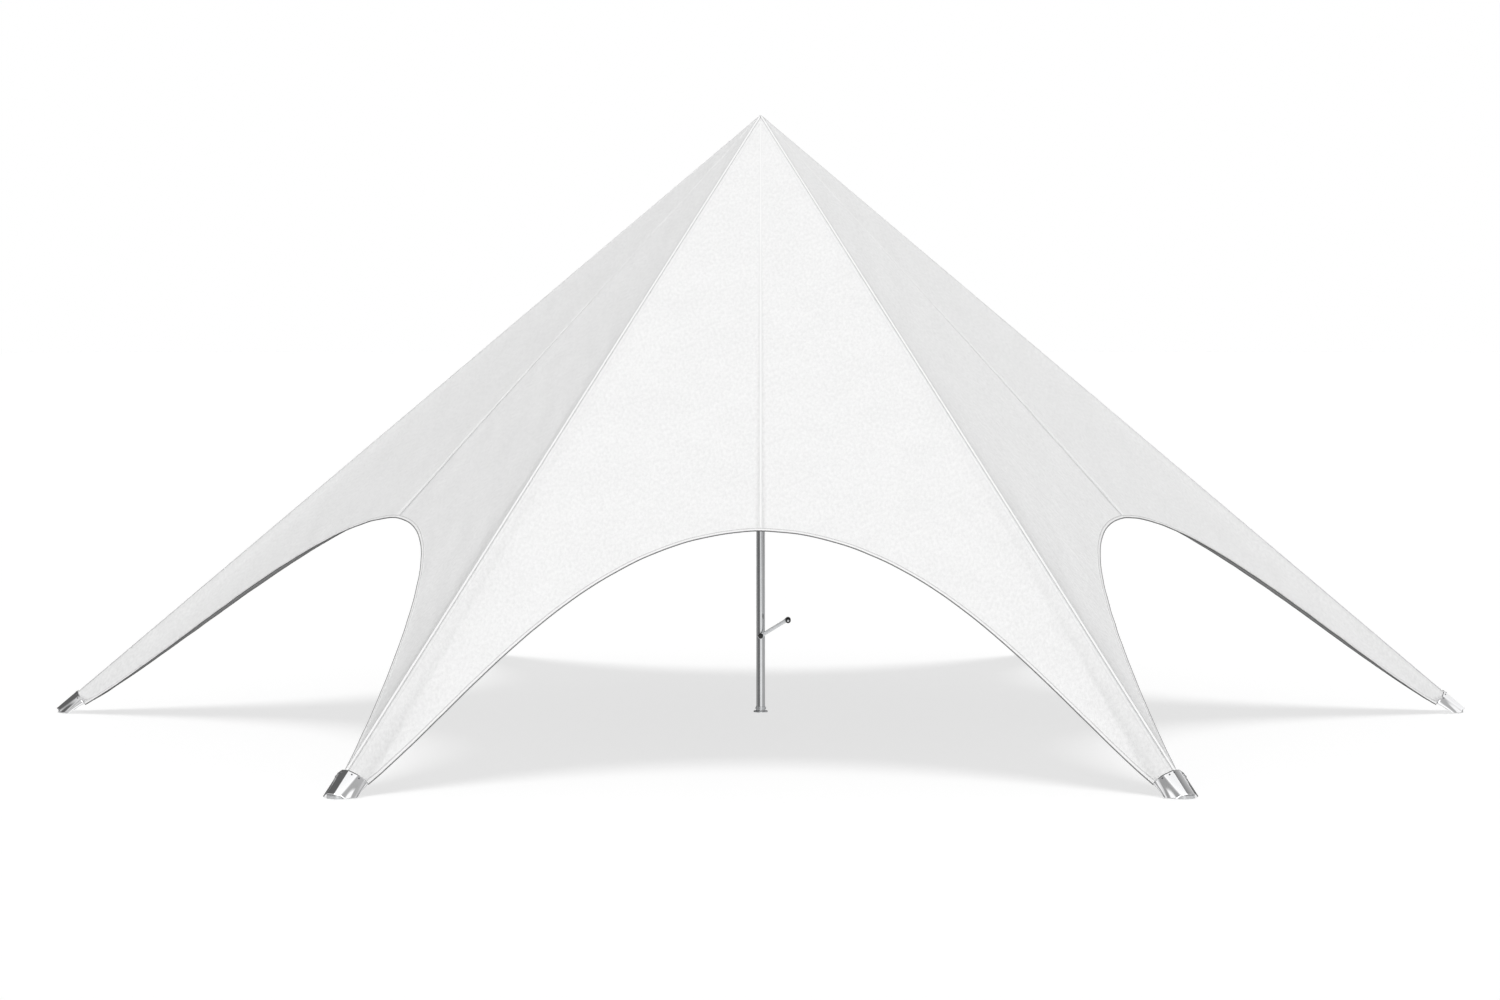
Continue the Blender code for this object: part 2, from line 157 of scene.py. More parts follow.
def compass(azimuth: float) -> tuple[Array, Array]:
    """Unit directions on the ground: away from the mast at an azimuth, and across that."""
    cosine, sine = math.cos(azimuth), math.sin(azimuth)
    return np.array((cosine, sine, 0.0)), np.array((-sine, cosine, 0.0))


def polar(radius: Array | float, angle: Array | float, height: Array | float) -> Array:
    """Positions at a radius and an angle about Z, and a height."""
    return np.stack(np.broadcast_arrays(radius * np.cos(angle), radius * np.sin(angle), height), axis=-1)


def grid_faces(rows: int, columns: int, first: int) -> NDArray[np.int32]:
    """Vertex numbers of the quads of a grid, row by row.

    Args:
        rows: rows of points.
        columns: points in a row.
        first: number of the grid's first vertex.

    Returns:
        One line of four vertex numbers for each quad: (r, c), (r + 1, c), (r + 1, c + 1), (r, c + 1).
    """
    number = first + np.arange(rows * columns, dtype=np.int32).reshape(rows, columns)
    corners = (number[:-1, :-1], number[1:, :-1], number[1:, 1:], number[:-1, 1:])
    return np.stack(corners, axis=-1).reshape(-1, 4)


def make_mesh(name: str, surfaces: list[Surface], sharp: float = 32.0, weld: bool = True) -> bpy.types.Mesh:
    """Puts surfaces into one mesh with a UV map and welds their seams and poles.

    Args:
        name: the mesh's name.
        surfaces: the grids that make it.
        sharp: angle in degrees past which an edge is drawn sharp.
        weld: whether points that coincide become one.

    Returns:
        The mesh.
    """
    mesh = bpy.data.meshes.new(name)
    counts = [surface.points.shape[0] * surface.points.shape[1] for surface in surfaces]
    starts = np.cumsum([0] + counts[:-1])
    faces = np.concatenate([grid_faces(*surface.points.shape[:2], int(start))
                            for surface, start in zip(surfaces, starts)])
    points = np.concatenate([surface.points.reshape(-1, 3) for surface in surfaces])
    uv = np.concatenate([surface.uv.reshape(-1, 2) for surface in surfaces])
    mesh.vertices.add(len(points))
    mesh.vertices.foreach_set("co", points.astype(np.float32).ravel())
    mesh.loops.add(faces.size)
    mesh.loops.foreach_set("vertex_index", faces.ravel())
    mesh.polygons.add(len(faces))
    mesh.polygons.foreach_set("loop_start", np.arange(0, faces.size, 4, dtype=np.int32))
    mesh.update(calc_edges=True)
    layer = mesh.uv_layers.new(name="UVMap")
    layer.data.foreach_set("uv", uv[faces.ravel()].astype(np.float32).ravel())
    if weld:
        work = bmesh.new()
        work.from_mesh(mesh)
        bmesh.ops.remove_doubles(work, verts=work.verts, dist=1e-6)
        bmesh.ops.dissolve_degenerate(work, edges=work.edges, dist=1e-7)
        work.to_mesh(mesh)
        work.free()
    mesh.validate()
    mesh.shade_smooth()
    mesh.set_sharp_from_angle(angle=math.radians(sharp))
    return mesh


def unit(directions: Array) -> Array:
    """Directions brought to a length of 1, one to a row."""
    return directions / np.linalg.norm(directions, axis=1)[:, None]


def lengths(path: Array) -> Array:
    """Distance run along a path up to each of its points."""
    steps = np.linalg.norm(np.diff(path, axis=0), axis=1)
    return np.concatenate(([0.0], np.cumsum(steps)))


def rounded(corners: Array, radii: float | Array, steps: int = 4) -> Array:
    """A path whose inner corners are softened.

    Round a corner c, from p a radius before it to q a radius after it, the path is the parabola
    (1 - t)^2 p + 2 t (1 - t) c + t^2 q, with the radius kept under half of the shorter edge beside it.

    Args:
        corners: the path's corners, one row each.
        radii: one radius, or one for each inner corner.
        steps: pieces of each parabola.

    Returns:
        The softened path, ends included.
    """
    before, corner, after = corners[:-2], corners[1:-1], corners[2:]
    back, on = before - corner, after - corner
    back_length = np.linalg.norm(back, axis=1)
    on_length = np.linalg.norm(on, axis=1)
    radius = np.minimum(np.broadcast_to(radii, back_length.shape), 0.499 * np.minimum(back_length, on_length))
    start = corner + back * (radius / back_length)[:, None]
    stop = corner + on * (radius / on_length)[:, None]
    t = np.linspace(0.0, 1.0, steps + 1)[None, :, None]
    bends = (1 - t) ** 2 * start[:, None] + 2 * t * (1 - t) * corner[:, None] + t**2 * stop[:, None]
    return np.concatenate((corners[:1], bends.reshape(-1, corners.shape[1]), corners[-1:]))


def guarded(path: Array, edge: float) -> Array:
    """A path with a point near either end of its long stretches, so that smooth shading stays even on them.

    Args:
        path: the path, one point to a row.
        edge: how far from the ends the new points are.

    Returns:
        The path with its new points.
    """
    points = [path[0]]
    for start, stop in zip(path[:-1], path[1:]):
        way = stop - start
        length = float(np.linalg.norm(way))
        if length > 4 * edge:
            points += [start + way * edge / length, stop - way * edge / length]
        points.append(stop)
    return np.array(points)


def turned(profile: list[tuple[float, float]], bevel: float, steps: int = 64,
           closed: bool = False) -> Surface:
    """A profile turned about Z: point = (r cos a, r sin a, z) for each (r, z) of it and each angle a.

    Args:
        profile: (radius, height) read down the outer side.
        bevel: radius of its softened corners.
        steps: parts of the full turn.
        closed: whether the profile's end joins its start, as a tube's does.

    Returns:
        The turned surface, its seam column doubled for the UV map.
    """
    path = np.array(profile, float)
    if closed:
        middle = (path[0] + path[-1]) / 2
        path = np.concatenate(([middle], path, [middle]))
    path = guarded(rounded(path, bevel), max(bevel, 0.001))
    angle = np.linspace(0.0, 2 * math.pi, steps + 1)
    radius, height = path[:, :1], path[:, 1:]
    around = path[:, 0].max() * angle + 0.0 * radius
    along = lengths(path)[:, None] + 0.0 * angle
    return Surface(polar(radius, angle, height), np.stack((around, along), axis=-1))


def swept(path: Array, section: Array, side: Array, out: Array) -> Surface:
    """A section carried along a path: point = path + across x side + up x out.

    Args:
        path: points of the path, one row each.
        section: (across, up) of each point of the section.
        side: unit directions for across, one for all or one for each point of the path.
        out: unit directions for up, likewise.

    Returns:
        The surface, rows along the path. Its UV map holds metres round the section and along the path.
    """
    side = np.broadcast_to(side, path.shape)[:, None]
    out = np.broadcast_to(out, path.shape)[:, None]
    points = path[:, None] + section[None, :, :1] * side + section[None, :, 1:] * out
    along = lengths(path)[:, None] + np.zeros(len(section))
    around = lengths(section)[None] + np.zeros((len(path), 1))
    return Surface(points, np.stack((around, along), axis=-1))


def end_caps(surface: Surface) -> list[Surface]:
    """Closes a swept tube: each end's ring of points drawn in to its middle."""
    made = []
    for ring, uv, keep in ((surface.points[0], surface.uv[0], 1), (surface.points[-1], surface.uv[-1], -1)):
        middle = np.broadcast_to(ring[:-1].mean(axis=0), ring.shape)
        rows = (middle, ring)[::keep]
        made.append(Surface(np.stack(rows), np.stack((uv, uv))))
    return made


def flat_plate(outline: Array, spine: Array, low: float, high: float, bevel: float) -> Surface:
    """A plate in the XY plane with a softened rim.

    Its rows are the spine on top, the outline drawn in by the bevel and then a quarter circle out to the
    rim, and the same in reverse below: rim point = outline + inward x bevel (1 - sin t), and
    height = high - bevel (1 - cos t).

    Args:
        outline: closed outline read counter-clockwise, first point repeated at the end.
        spine: for each outline point, the point of the plate's middle that it is joined to.
        low: height of the underside.
        high: height of the top.
        bevel: radius of the rim.

    Returns:
        The closed surface.
    """
    tangent = unit(np.roll(outline[:-1], -1, axis=0) - np.roll(outline[:-1], 1, axis=0))
    inward = np.stack((-tangent[:, 1], tangent[:, 0]), axis=1)
    inward = np.concatenate((inward, inward[:1]))
    quarter = np.linspace(0.0, math.pi / 2, 5)
    inset = bevel * (1 - np.sin(quarter))
    drop = bevel * (1 - np.cos(quarter))
    plan = [spine] + [outline + inward * step for step in np.concatenate((inset, inset[::-1]))] + [spine]
    height = np.concatenate(([high], high - drop, (low + drop)[::-1], [low]))
    points = np.stack([np.column_stack((ring, np.full(len(ring), z))) for ring, z in zip(plan, height)])
    return Surface(points, points[..., :2].copy())


def fastener(head: Head, radius: float, height: float, steps: int = 18) -> Surface:
    """A fastener's head on Z: a dome with a six-sided socket, or a six-sided block with a chamfered top.

    A six-sided ring at angle a has the radius r cos 30 / cos((a mod 60) - 30), in degrees.

    Args:
        head: shape of the head.
        radius: its radius.
        height: its height above the face that it sits on.
        steps: parts of the full turn.

    Returns:
        The surface, open below, where it sits.
    """
    angle = np.linspace(0.0, 2 * math.pi, steps + 1)
    sixth = math.pi / 3
    six_sided = math.cos(sixth / 2) / np.cos(angle % sixth - sixth / 2)
    if head is Head.BUTTON:
        rings = ((0.0, 0.45, True), (0.42, 0.45, True), (0.46, 0.96, True), (0.62, 0.93, False),
                 (0.82, 0.74, False), (0.95, 0.42, False), (1.0, 0.0, False))
    else:
        rings = ((0.0, 1.0, False), (0.80, 1.0, False), (0.98, 0.90, True), (1.0, 0.0, True))
    points = np.stack([polar(radius * share * (six_sided if six else 1.0), angle, height * rise)
                       for share, rise, six in rings])
    return Surface(points, points[..., :2].copy())


def smooth_step(value: Array, low: float, high: float) -> Array:
    """0 up to low, 1 past high, and 3 t^2 - 2 t^3 between them."""
    t = np.clip((value - low) / (high - low), 0.0, 1.0)
    return t * t * (3.0 - 2.0 * t)


# Finishes


class Graph:
    """The nodes of one material or world, added by short names."""

    def __init__(self, owner: bpy.types.Material | bpy.types.World) -> None:
        """Starts on the owner's own nodes."""
        owner.use_nodes = True
        self.owner = owner
        self.tree = owner.node_tree

    @classmethod
    def material(cls, name: str) -> "Graph":
        """Starts a new material, which has a Principled shader."""
        return cls(bpy.data.materials.new(name))

    def feed(self, socket: bpy.types.NodeSocket, value: Any) -> None:
        """Links a socket to a value's socket, or sets it to a plain value."""
        if isinstance(value, bpy.types.NodeSocket):
            self.tree.links.new(value, socket)
        else:
            socket.default_value = value

    def node(self, kind: str, inputs: dict[str | int, Any], output: str | int | None = 0,
             **settings: Any) -> Any:
        """Adds a node.

        Args:
            kind: the node's type, without its prefix.
            inputs: values or sockets for its inputs.
            output: which output to return, or None for a node that has none.
            **settings: the node's own settings.

        Returns:
            The chosen output socket, or None.
        """
        made = self.tree.nodes.new("ShaderNode" + kind)
        for key, value in settings.items():
            setattr(made, key, value)
        for key, value in inputs.items():
            self.feed(made.inputs[key], value)
        return None if output is None else made.outputs[output]

    def place(self, source: str = "Object", scale: Triple = (1.0, 1.0, 1.0),
              turn: float = 0.0) -> bpy.types.NodeSocket:
        """Texture coordinates, scaled and turned about Z by degrees."""
        inputs = {"Vector": self.node("TexCoord", {}, source), "Scale": scale,
                  "Rotation": (0.0, 0.0, math.radians(turn))}
        return self.node("Mapping", inputs)

    def axes(self, place: bpy.types.NodeSocket) -> tuple[bpy.types.NodeSocket, bpy.types.NodeSocket]:
        """The X and Y of a place."""
        return self.node("SeparateXYZ", {0: place}, "X"), self.node("SeparateXYZ", {0: place}, "Y")

    def bent(self, place: bpy.types.NodeSocket, scale: float, detail: float,
             reach: float) -> bpy.types.NodeSocket:
        """A place that wanders by up to a reach."""
        wander = self.node("TexNoise", {"Vector": place, "Scale": scale, "Detail": detail}, "Color")
        offset = self.node("VectorMath", {0: wander, 1: grey(reach)}, operation="MULTIPLY")
        return self.node("VectorMath", {0: place, 1: offset}, operation="ADD")

    def noise(self, place: bpy.types.NodeSocket, scale: float, detail: float = 3.0,
              roughness: float = 0.5) -> bpy.types.NodeSocket:
        """Soft noise from 0 to 1."""
        inputs = {"Vector": place, "Scale": scale, "Detail": detail, "Roughness": roughness}
        return self.node("TexNoise", inputs)

    def calc(self, operation: str, first: Any, second: Any = 0.0) -> bpy.types.NodeSocket:
        """One sum of two values."""
        return self.node("Math", {0: first, 1: second}, operation=operation)

    def remap(self, value: Any, span: tuple[float, float], to: tuple[float, float],
              curve: str = "LINEAR") -> bpy.types.NodeSocket:
        """Carries a value from one span to another."""
        inputs = {"Value": value, "From Min": span[0], "From Max": span[1], "To Min": to[0],
                  "To Max": to[1]}
        return self.node("MapRange", inputs, interpolation_type=curve)

    def tint(self, share: Any, first: Any, second: Any) -> bpy.types.NodeSocket:
        """A colour between two others, each a node's or a plain one."""
        ends = [end if isinstance(end, bpy.types.NodeSocket) else (*end, 1.0) for end in (first, second)]
        return self.node("Mix", {0: share, 6: ends[0], 7: ends[1]}, 2, data_type="RGBA")

    def bump(self, height: Any, distance: float, under: Any = None) -> bpy.types.NodeSocket:
        """Relief of a height in metres times a distance, on top of another relief."""
        inputs = {"Height": height, "Distance": distance, "Strength": 1.0}
        if under is not None:
            inputs["Normal"] = under
        return self.node("Bump", inputs)

    def finish(self, **inputs: Any) -> bpy.types.Material:
        """Feeds the shader and returns the material. An input's spaces are written as underscores."""
        shader = self.tree.nodes["Principled BSDF"]
        for key, value in inputs.items():
            self.feed(shader.inputs[key.replace("_", " ")], value)
        return self.owner


def grey(level: float) -> Triple:
    """A neutral colour."""
    return level, level, level


@dataclass(frozen=True)
class CoatedFabric:
    """White coated canopy cloth: fine weave, soft criss-cross creases and a faintly uneven white."""

    name: str = "white_coated_fabric"
    white: float = 0.852
    shade: float = 0.770
    tone_span: tuple[float, float] = (0.37, 0.63)  # of the mottling's tone, from shade to white
    roughness: tuple[float, float] = (0.52, 0.66)
    crease_turns: tuple[float, float] = (37.0, -42.0)
    crease_scale: Triple = (11.0, 3.6, 1.0)
    crease_height: float = 0.0042
    crumple_scale: float = 7.0
    crumple_edge: float = 0.16
    crumple_wander: float = 0.22
    crumple_height: float = 0.0004
    fibre_scale: Triple = (46.0, 17.0, 1.0)
    fibre_height: float = 0.0011
    mottle_scale: Triple = (40.0, 25.0, 1.0)
    mottle_turn: float = 20.0
    mottle_share: float = 0.8
    cloud_scale: float = 2.4
    seam_place: float = 0.046  # the outer stitch row's distance from the ridge
    seam_half: float = 0.0022
    seam_shade: float = 0.72
    yarn_scale: float = 240.0
    yarn_height: float = 0.00005

    def build(self) -> bpy.types.Material:
        """Makes the material. Its patterns lie on the UV map: metres across and down the cloth."""
        graph = Graph.material(self.name)
        ways = [graph.noise(graph.place("UV", self.crease_scale, turn), 1.0, 4.0, 0.55)
                for turn in self.crease_turns]
        crease = graph.calc("ADD", *ways)
        cloud = graph.noise(graph.place("UV"), self.cloud_scale, 5.0, 0.62)
        mottle = graph.noise(graph.place("UV", self.mottle_scale, self.mottle_turn), 1.0, 3.0, 0.65)
        tone = graph.calc("ADD", graph.calc("MULTIPLY", mottle, self.mottle_share),
                          graph.calc("MULTIPLY", cloud, 1.0 - self.mottle_share))
        spot = graph.bent(graph.place("UV"), 5.0, 2.0, self.crumple_wander)
        cell = graph.node("TexVoronoi", {"Vector": spot, "Scale": self.crumple_scale},
                          feature="DISTANCE_TO_EDGE", voronoi_dimensions="2D")
        crumple = graph.remap(cell, (0.0, self.crumple_edge), (1.0, 0.0), "SMOOTHERSTEP")
        yarns = [graph.node("TexWave", {"Vector": graph.place("UV", turn=turn), "Scale": self.yarn_scale})
                 for turn in (0.0, 90.0)]
        weave = graph.calc("ADD", *yarns)
        relief = graph.bump(crease, self.crease_height)
        relief = graph.bump(crumple, self.crumple_height, under=relief)
        fibres = [graph.noise(graph.place("UV", self.fibre_scale, turn), 1.0, 4.0, 0.6)
                  for turn in self.crease_turns[::-1]]
        relief = graph.bump(graph.calc("ADD", *fibres), self.fibre_height, under=relief)
        relief = graph.bump(weave, self.yarn_height, under=relief)
        colour = graph.tint(graph.remap(tone, self.tone_span, (0.0, 1.0)), grey(self.shade), grey(self.white))
        colour = graph.tint(self.stitch_row(graph), colour, grey(self.seam_shade))
        rough = graph.remap(crease, (0.7, 1.3), self.roughness)
        return graph.finish(Base_Color=colour, Roughness=rough, Normal=relief, Specular_IOR_Level=0.35)

    def stitch_row(self, graph: Graph) -> bpy.types.NodeSocket:
        """1 on the stitch row that runs beside each ridge, 0 elsewhere.

        A bay's number times ten is added to its sideways distance s on the UV map, and d is the distance down
        the slope. The distance from the ridge is (foot side x d - slope length x |s|) / ridge length.
        """
        shape = CanopyShape()
        side, down = graph.axes(graph.place("UV"))
        bay = graph.calc("MULTIPLY", graph.calc("ROUND", graph.calc("DIVIDE", side, 10.0)), 10.0)
        side = graph.calc("ABSOLUTE", graph.calc("SUBTRACT", side, bay))
        away = graph.calc("SUBTRACT", graph.calc("MULTIPLY", down, shape.foot_side / shape.ridge_length),
                          graph.calc("MULTIPLY", side, shape.slope_length / shape.ridge_length))
        off = graph.calc("ABSOLUTE", graph.calc("SUBTRACT", away, self.seam_place))
        return graph.remap(off, (self.seam_half * 0.4, self.seam_half), (1.0, 0.0), "SMOOTHSTEP")


@dataclass(frozen=True)
class SewnTape:
    """White tape with ribs across it and rows of lock stitches along it, each row in a sunk groove painted
    grey as shade, which stands in for the shadow along the tape's raised edges.
    """

    name: str
    rows: tuple[float, ...]  # places of the stitch rows across the tape, in metres of its UV map
    white: float = 0.88
    # grey of the painted shade in the groove round each stitch row
    shaded_groove: float = 0.50
    thread: float = 0.72
    shaded_groove_half: float = 0.0026
    thread_half: float = 0.0006
    pitch: float = 0.0048
    stitch_share: float = 0.7
    rib_scale: float = 150.0
    rib_height: float = 0.00012
    thread_height: float = 0.0005

    def build(self) -> bpy.types.Material:
        """Makes the material. A stitch shows in the first share of each pitch along its row."""
        graph = Graph.material(self.name)
        across, along = graph.axes(graph.place("UV"))
        near = None
        for row in self.rows:
            off = graph.calc("ABSOLUTE", graph.calc("SUBTRACT", across, row))
            near = off if near is None else graph.calc("MINIMUM", near, off)
        # The groove round each stitch row is sunk by the relief and darkened with painted shade, standing in
        # for the shadow along the tape's raised edges.
        shaded_groove = graph.remap(near, (self.shaded_groove_half * 0.5, self.shaded_groove_half), (1.0, 0.0), "SMOOTHSTEP")
        in_row = graph.calc("LESS_THAN", near, self.thread_half)
        beat = graph.calc("FRACT", graph.calc("DIVIDE", along, self.pitch))
        stitch = graph.calc("MULTIPLY", in_row, graph.calc("LESS_THAN", beat, self.stitch_share))
        ribs = graph.node("TexWave", {"Vector": graph.place("UV", turn=90.0), "Scale": self.rib_scale})
        speckle = graph.noise(graph.place("UV"), 60.0, 3.0, 0.6)
        base = graph.tint(graph.remap(speckle, (0.3, 0.7), (0.0, 1.0)), grey(self.white * 0.965),
                          grey(self.white))
        colour = graph.tint(stitch, graph.tint(shaded_groove, base, grey(self.shaded_groove)), grey(self.thread))
        relief = graph.bump(ribs, self.rib_height)
        relief = graph.bump(graph.calc("SUBTRACT", stitch, shaded_groove), self.thread_height, under=relief)
        return graph.finish(Base_Color=colour, Roughness=0.78, Normal=relief, Specular_IOR_Level=0.25)


@dataclass(frozen=True)
class LaidRope:
    """Grey laid rope: strands that wind round it, as a slanting wave on its UV map."""

    name: str = "grey_laid_rope"
    dark: float = 0.20
    light: float = 0.34
    strand_scale: float = 34.0
    strand_turn: float = 52.0
    strand_height: float = 0.0012

    def build(self) -> bpy.types.Material:
        """Makes the material."""
        graph = Graph.material(self.name)
        wave = graph.node("TexWave", {"Vector": graph.place("UV", turn=self.strand_turn),
                                      "Scale": self.strand_scale})
        fuzz = graph.noise(graph.place("UV", (900.0, 300.0, 1.0)), 1.0, 3.0, 0.7)
        share = graph.calc("MULTIPLY", wave, graph.remap(fuzz, (0.2, 0.8), (0.6, 1.0)))
        relief = graph.bump(share, self.strand_height)
        colour = graph.tint(share, grey(self.dark), grey(self.light))
        return graph.finish(Base_Color=colour, Roughness=0.85, Normal=relief, Specular_IOR_Level=0.2)


@dataclass(frozen=True)
class WorkedMetal:
    """Bare metal with drawn or brushed lines, faint clouding and fine scratches.

    The lines run where the pattern's scale is lowest.
    """

    name: str
    light: Triple
    dark: Triple
    roughness: tuple[float, float]
    line_scale: Triple
    line_height: float = 0.00004
    cloud_scale: float = 9.0

    def build(self) -> bpy.types.Material:
        """Makes the material on Object coordinates."""
        graph = Graph.material(self.name)
        lines = graph.noise(graph.place(scale=self.line_scale), 1.0, 3.0, 0.65)
        cloud = graph.noise(graph.place(), self.cloud_scale, 4.0, 0.6)
        share = graph.calc("ADD", graph.calc("MULTIPLY", lines, 0.6), graph.calc("MULTIPLY", cloud, 0.4))
        colour = graph.tint(graph.remap(share, (0.35, 0.65), (0.0, 1.0)), self.dark, self.light)
        rough = graph.remap(share, (0.3, 0.7), self.roughness)
        return graph.finish(Base_Color=colour, Roughness=rough, Metallic=1.0,
                            Normal=graph.bump(lines, self.line_height))


@dataclass(frozen=True)
class ZincPlate:
    """Hot-dip zinc on steel: crystals of slightly unlike greys and unlike roughness."""

    name: str = "zinc_plated_steel"
    crystal_scale: float = 70.0
    crystal_wander: float = 0.012
    light: Triple = (0.84, 0.85, 0.86)
    dark: Triple = (0.70, 0.71, 0.72)
    roughness: tuple[float, float] = (0.34, 0.52)
    metal: float = 0.35

    def build(self) -> bpy.types.Material:
        """Makes the material on Object coordinates."""
        graph = Graph.material(self.name)
        spot = graph.bent(graph.place(), 40.0, 3.0, self.crystal_wander)
        cell = graph.node("TexVoronoi", {"Vector": spot, "Scale": self.crystal_scale}, "Color")
        level = graph.node("RGBToBW", {0: cell})
        colour = graph.tint(level, self.dark, self.light)
        rough = graph.remap(level, (0.0, 1.0), self.roughness)
        grain = graph.noise(graph.place(), 260.0, 3.0, 0.6)
        return graph.finish(Base_Color=colour, Roughness=rough, Metallic=self.metal,
                            Normal=graph.bump(grain, 0.00008))


@dataclass(frozen=True)
class MouldedPlastic:
    """Black moulded plastic with a fine spark grain and slight scuffs."""

    name: str = "black_moulded_plastic"
    black: float = 0.018
    scuff: float = 0.045
    grain_scale: float = 1100.0
    grain_height: float = 0.00012

    def build(self) -> bpy.types.Material:
        """Makes the material on Object coordinates."""
        graph = Graph.material(self.name)
        grain = graph.noise(graph.place(), self.grain_scale, 2.0, 0.5)
        wear = graph.noise(graph.place(), 55.0, 5.0, 0.7)
        share = graph.remap(wear, (0.48, 0.72), (0.0, 1.0))
        colour = graph.tint(share, grey(self.black), grey(self.scuff))
        rough = graph.remap(share, (0.0, 1.0), (0.38, 0.58))
        return graph.finish(Base_Color=colour, Roughness=rough, Normal=graph.bump(grain, self.grain_height))


@dataclass
class Finishes:
    """Every finish of the tent, each made once."""

    fabric: bpy.types.Material
    ridge_tape: bpy.types.Material
    hem_tape: bpy.types.Material
    seam_tape: bpy.types.Material
    rope: bpy.types.Material
    shoe: bpy.types.Material
    plate: bpy.types.Material
    aluminium: bpy.types.Material
    steel: bpy.types.Material
    bolt: bpy.types.Material
    black: bpy.types.Material

    @classmethod
    def make(cls) -> "Finishes":
        """Builds the materials."""
        return cls(
            fabric=CoatedFabric().build(),
            # The tapes' grooves carry painted shade: darkest on the ridge tape, faint on the bay seam.
            ridge_tape=SewnTape("ridge_tape", (RidgeTape.row, -RidgeTape.row), shaded_groove=0.44,
                                shaded_groove_half=0.0036).build(),
            hem_tape=SewnTape("hem_tape", (ArchHem.width - 0.004, ArchHem.width - 0.010)).build(),
            seam_tape=SewnTape("seam_tape", (-0.0075, 0.0075), white=0.90, shaded_groove=0.80).build(),
            rope=LaidRope().build(),
            shoe=WorkedMetal("polished_shoe_steel", (0.86, 0.86, 0.87), (0.80, 0.80, 0.81), (0.07, 0.13),
                             (260.0, 260.0, 40.0), line_height=0.000012, cloud_scale=5.0).build(),
            plate=ZincPlate().build(),
            aluminium=WorkedMetal("drawn_aluminium", (0.80, 0.81, 0.82), (0.72, 0.73, 0.74), (0.10, 0.15),
                                  (520.0, 520.0, 1.2), line_height=0.00001).build(),
            steel=WorkedMetal("brushed_steel", (0.62, 0.63, 0.64), (0.50, 0.51, 0.52), (0.26, 0.38),
                              (60.0, 420.0, 420.0)).build(),
            bolt=WorkedMetal("dark_bolt_steel", (0.24, 0.24, 0.25), (0.12, 0.12, 0.13), (0.32, 0.45),
                             (300.0, 300.0, 300.0)).build(),
            black=MouldedPlastic().build(),
        )


def add_piece(name: str, surfaces: list[Surface], finish: bpy.types.Material, body: Body,
              replaced: tuple[str, ...] = (), sharp: float = 32.0, weld: bool = True) -> bpy.types.Object:
    """Makes a piece of the tent and lets it ride on a body.

    Args:
        name: the piece's name.
        surfaces: the grids of its mesh.
        finish: its material.
        body: the body it moves with.
        replaced: solids of the frame that it stands for.
        sharp: angle in degrees past which an edge is drawn sharp.
        weld: whether points that coincide become one.

    Returns:
        The new object.
    """
    mesh = make_mesh(name, surfaces, sharp, weld)
    mesh.materials.append(finish)
    piece = bpy.data.objects.new(name, mesh)
    bpy.context.scene.collection.objects.link(piece)
    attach(piece, body.value)
    if replaced:
        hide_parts(*replaced)
    log.info("%s: %d faces on %s", name, len(mesh.polygons), body.value)
    return piece


def thicken(piece: bpy.types.Object, thickness: float) -> None:
    """Gives a sheet its thickness, on its inner side."""
    shell = piece.modifiers.new("thickness", "SOLIDIFY")
    shell.thickness = thickness
    shell.offset = -1.0
    shell.use_even_offset = True


def sink_with_mast(piece: bpy.types.Object) -> None:
    """Gives a cloth piece its own copy of its mesh."""
    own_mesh(piece)


# Canopy


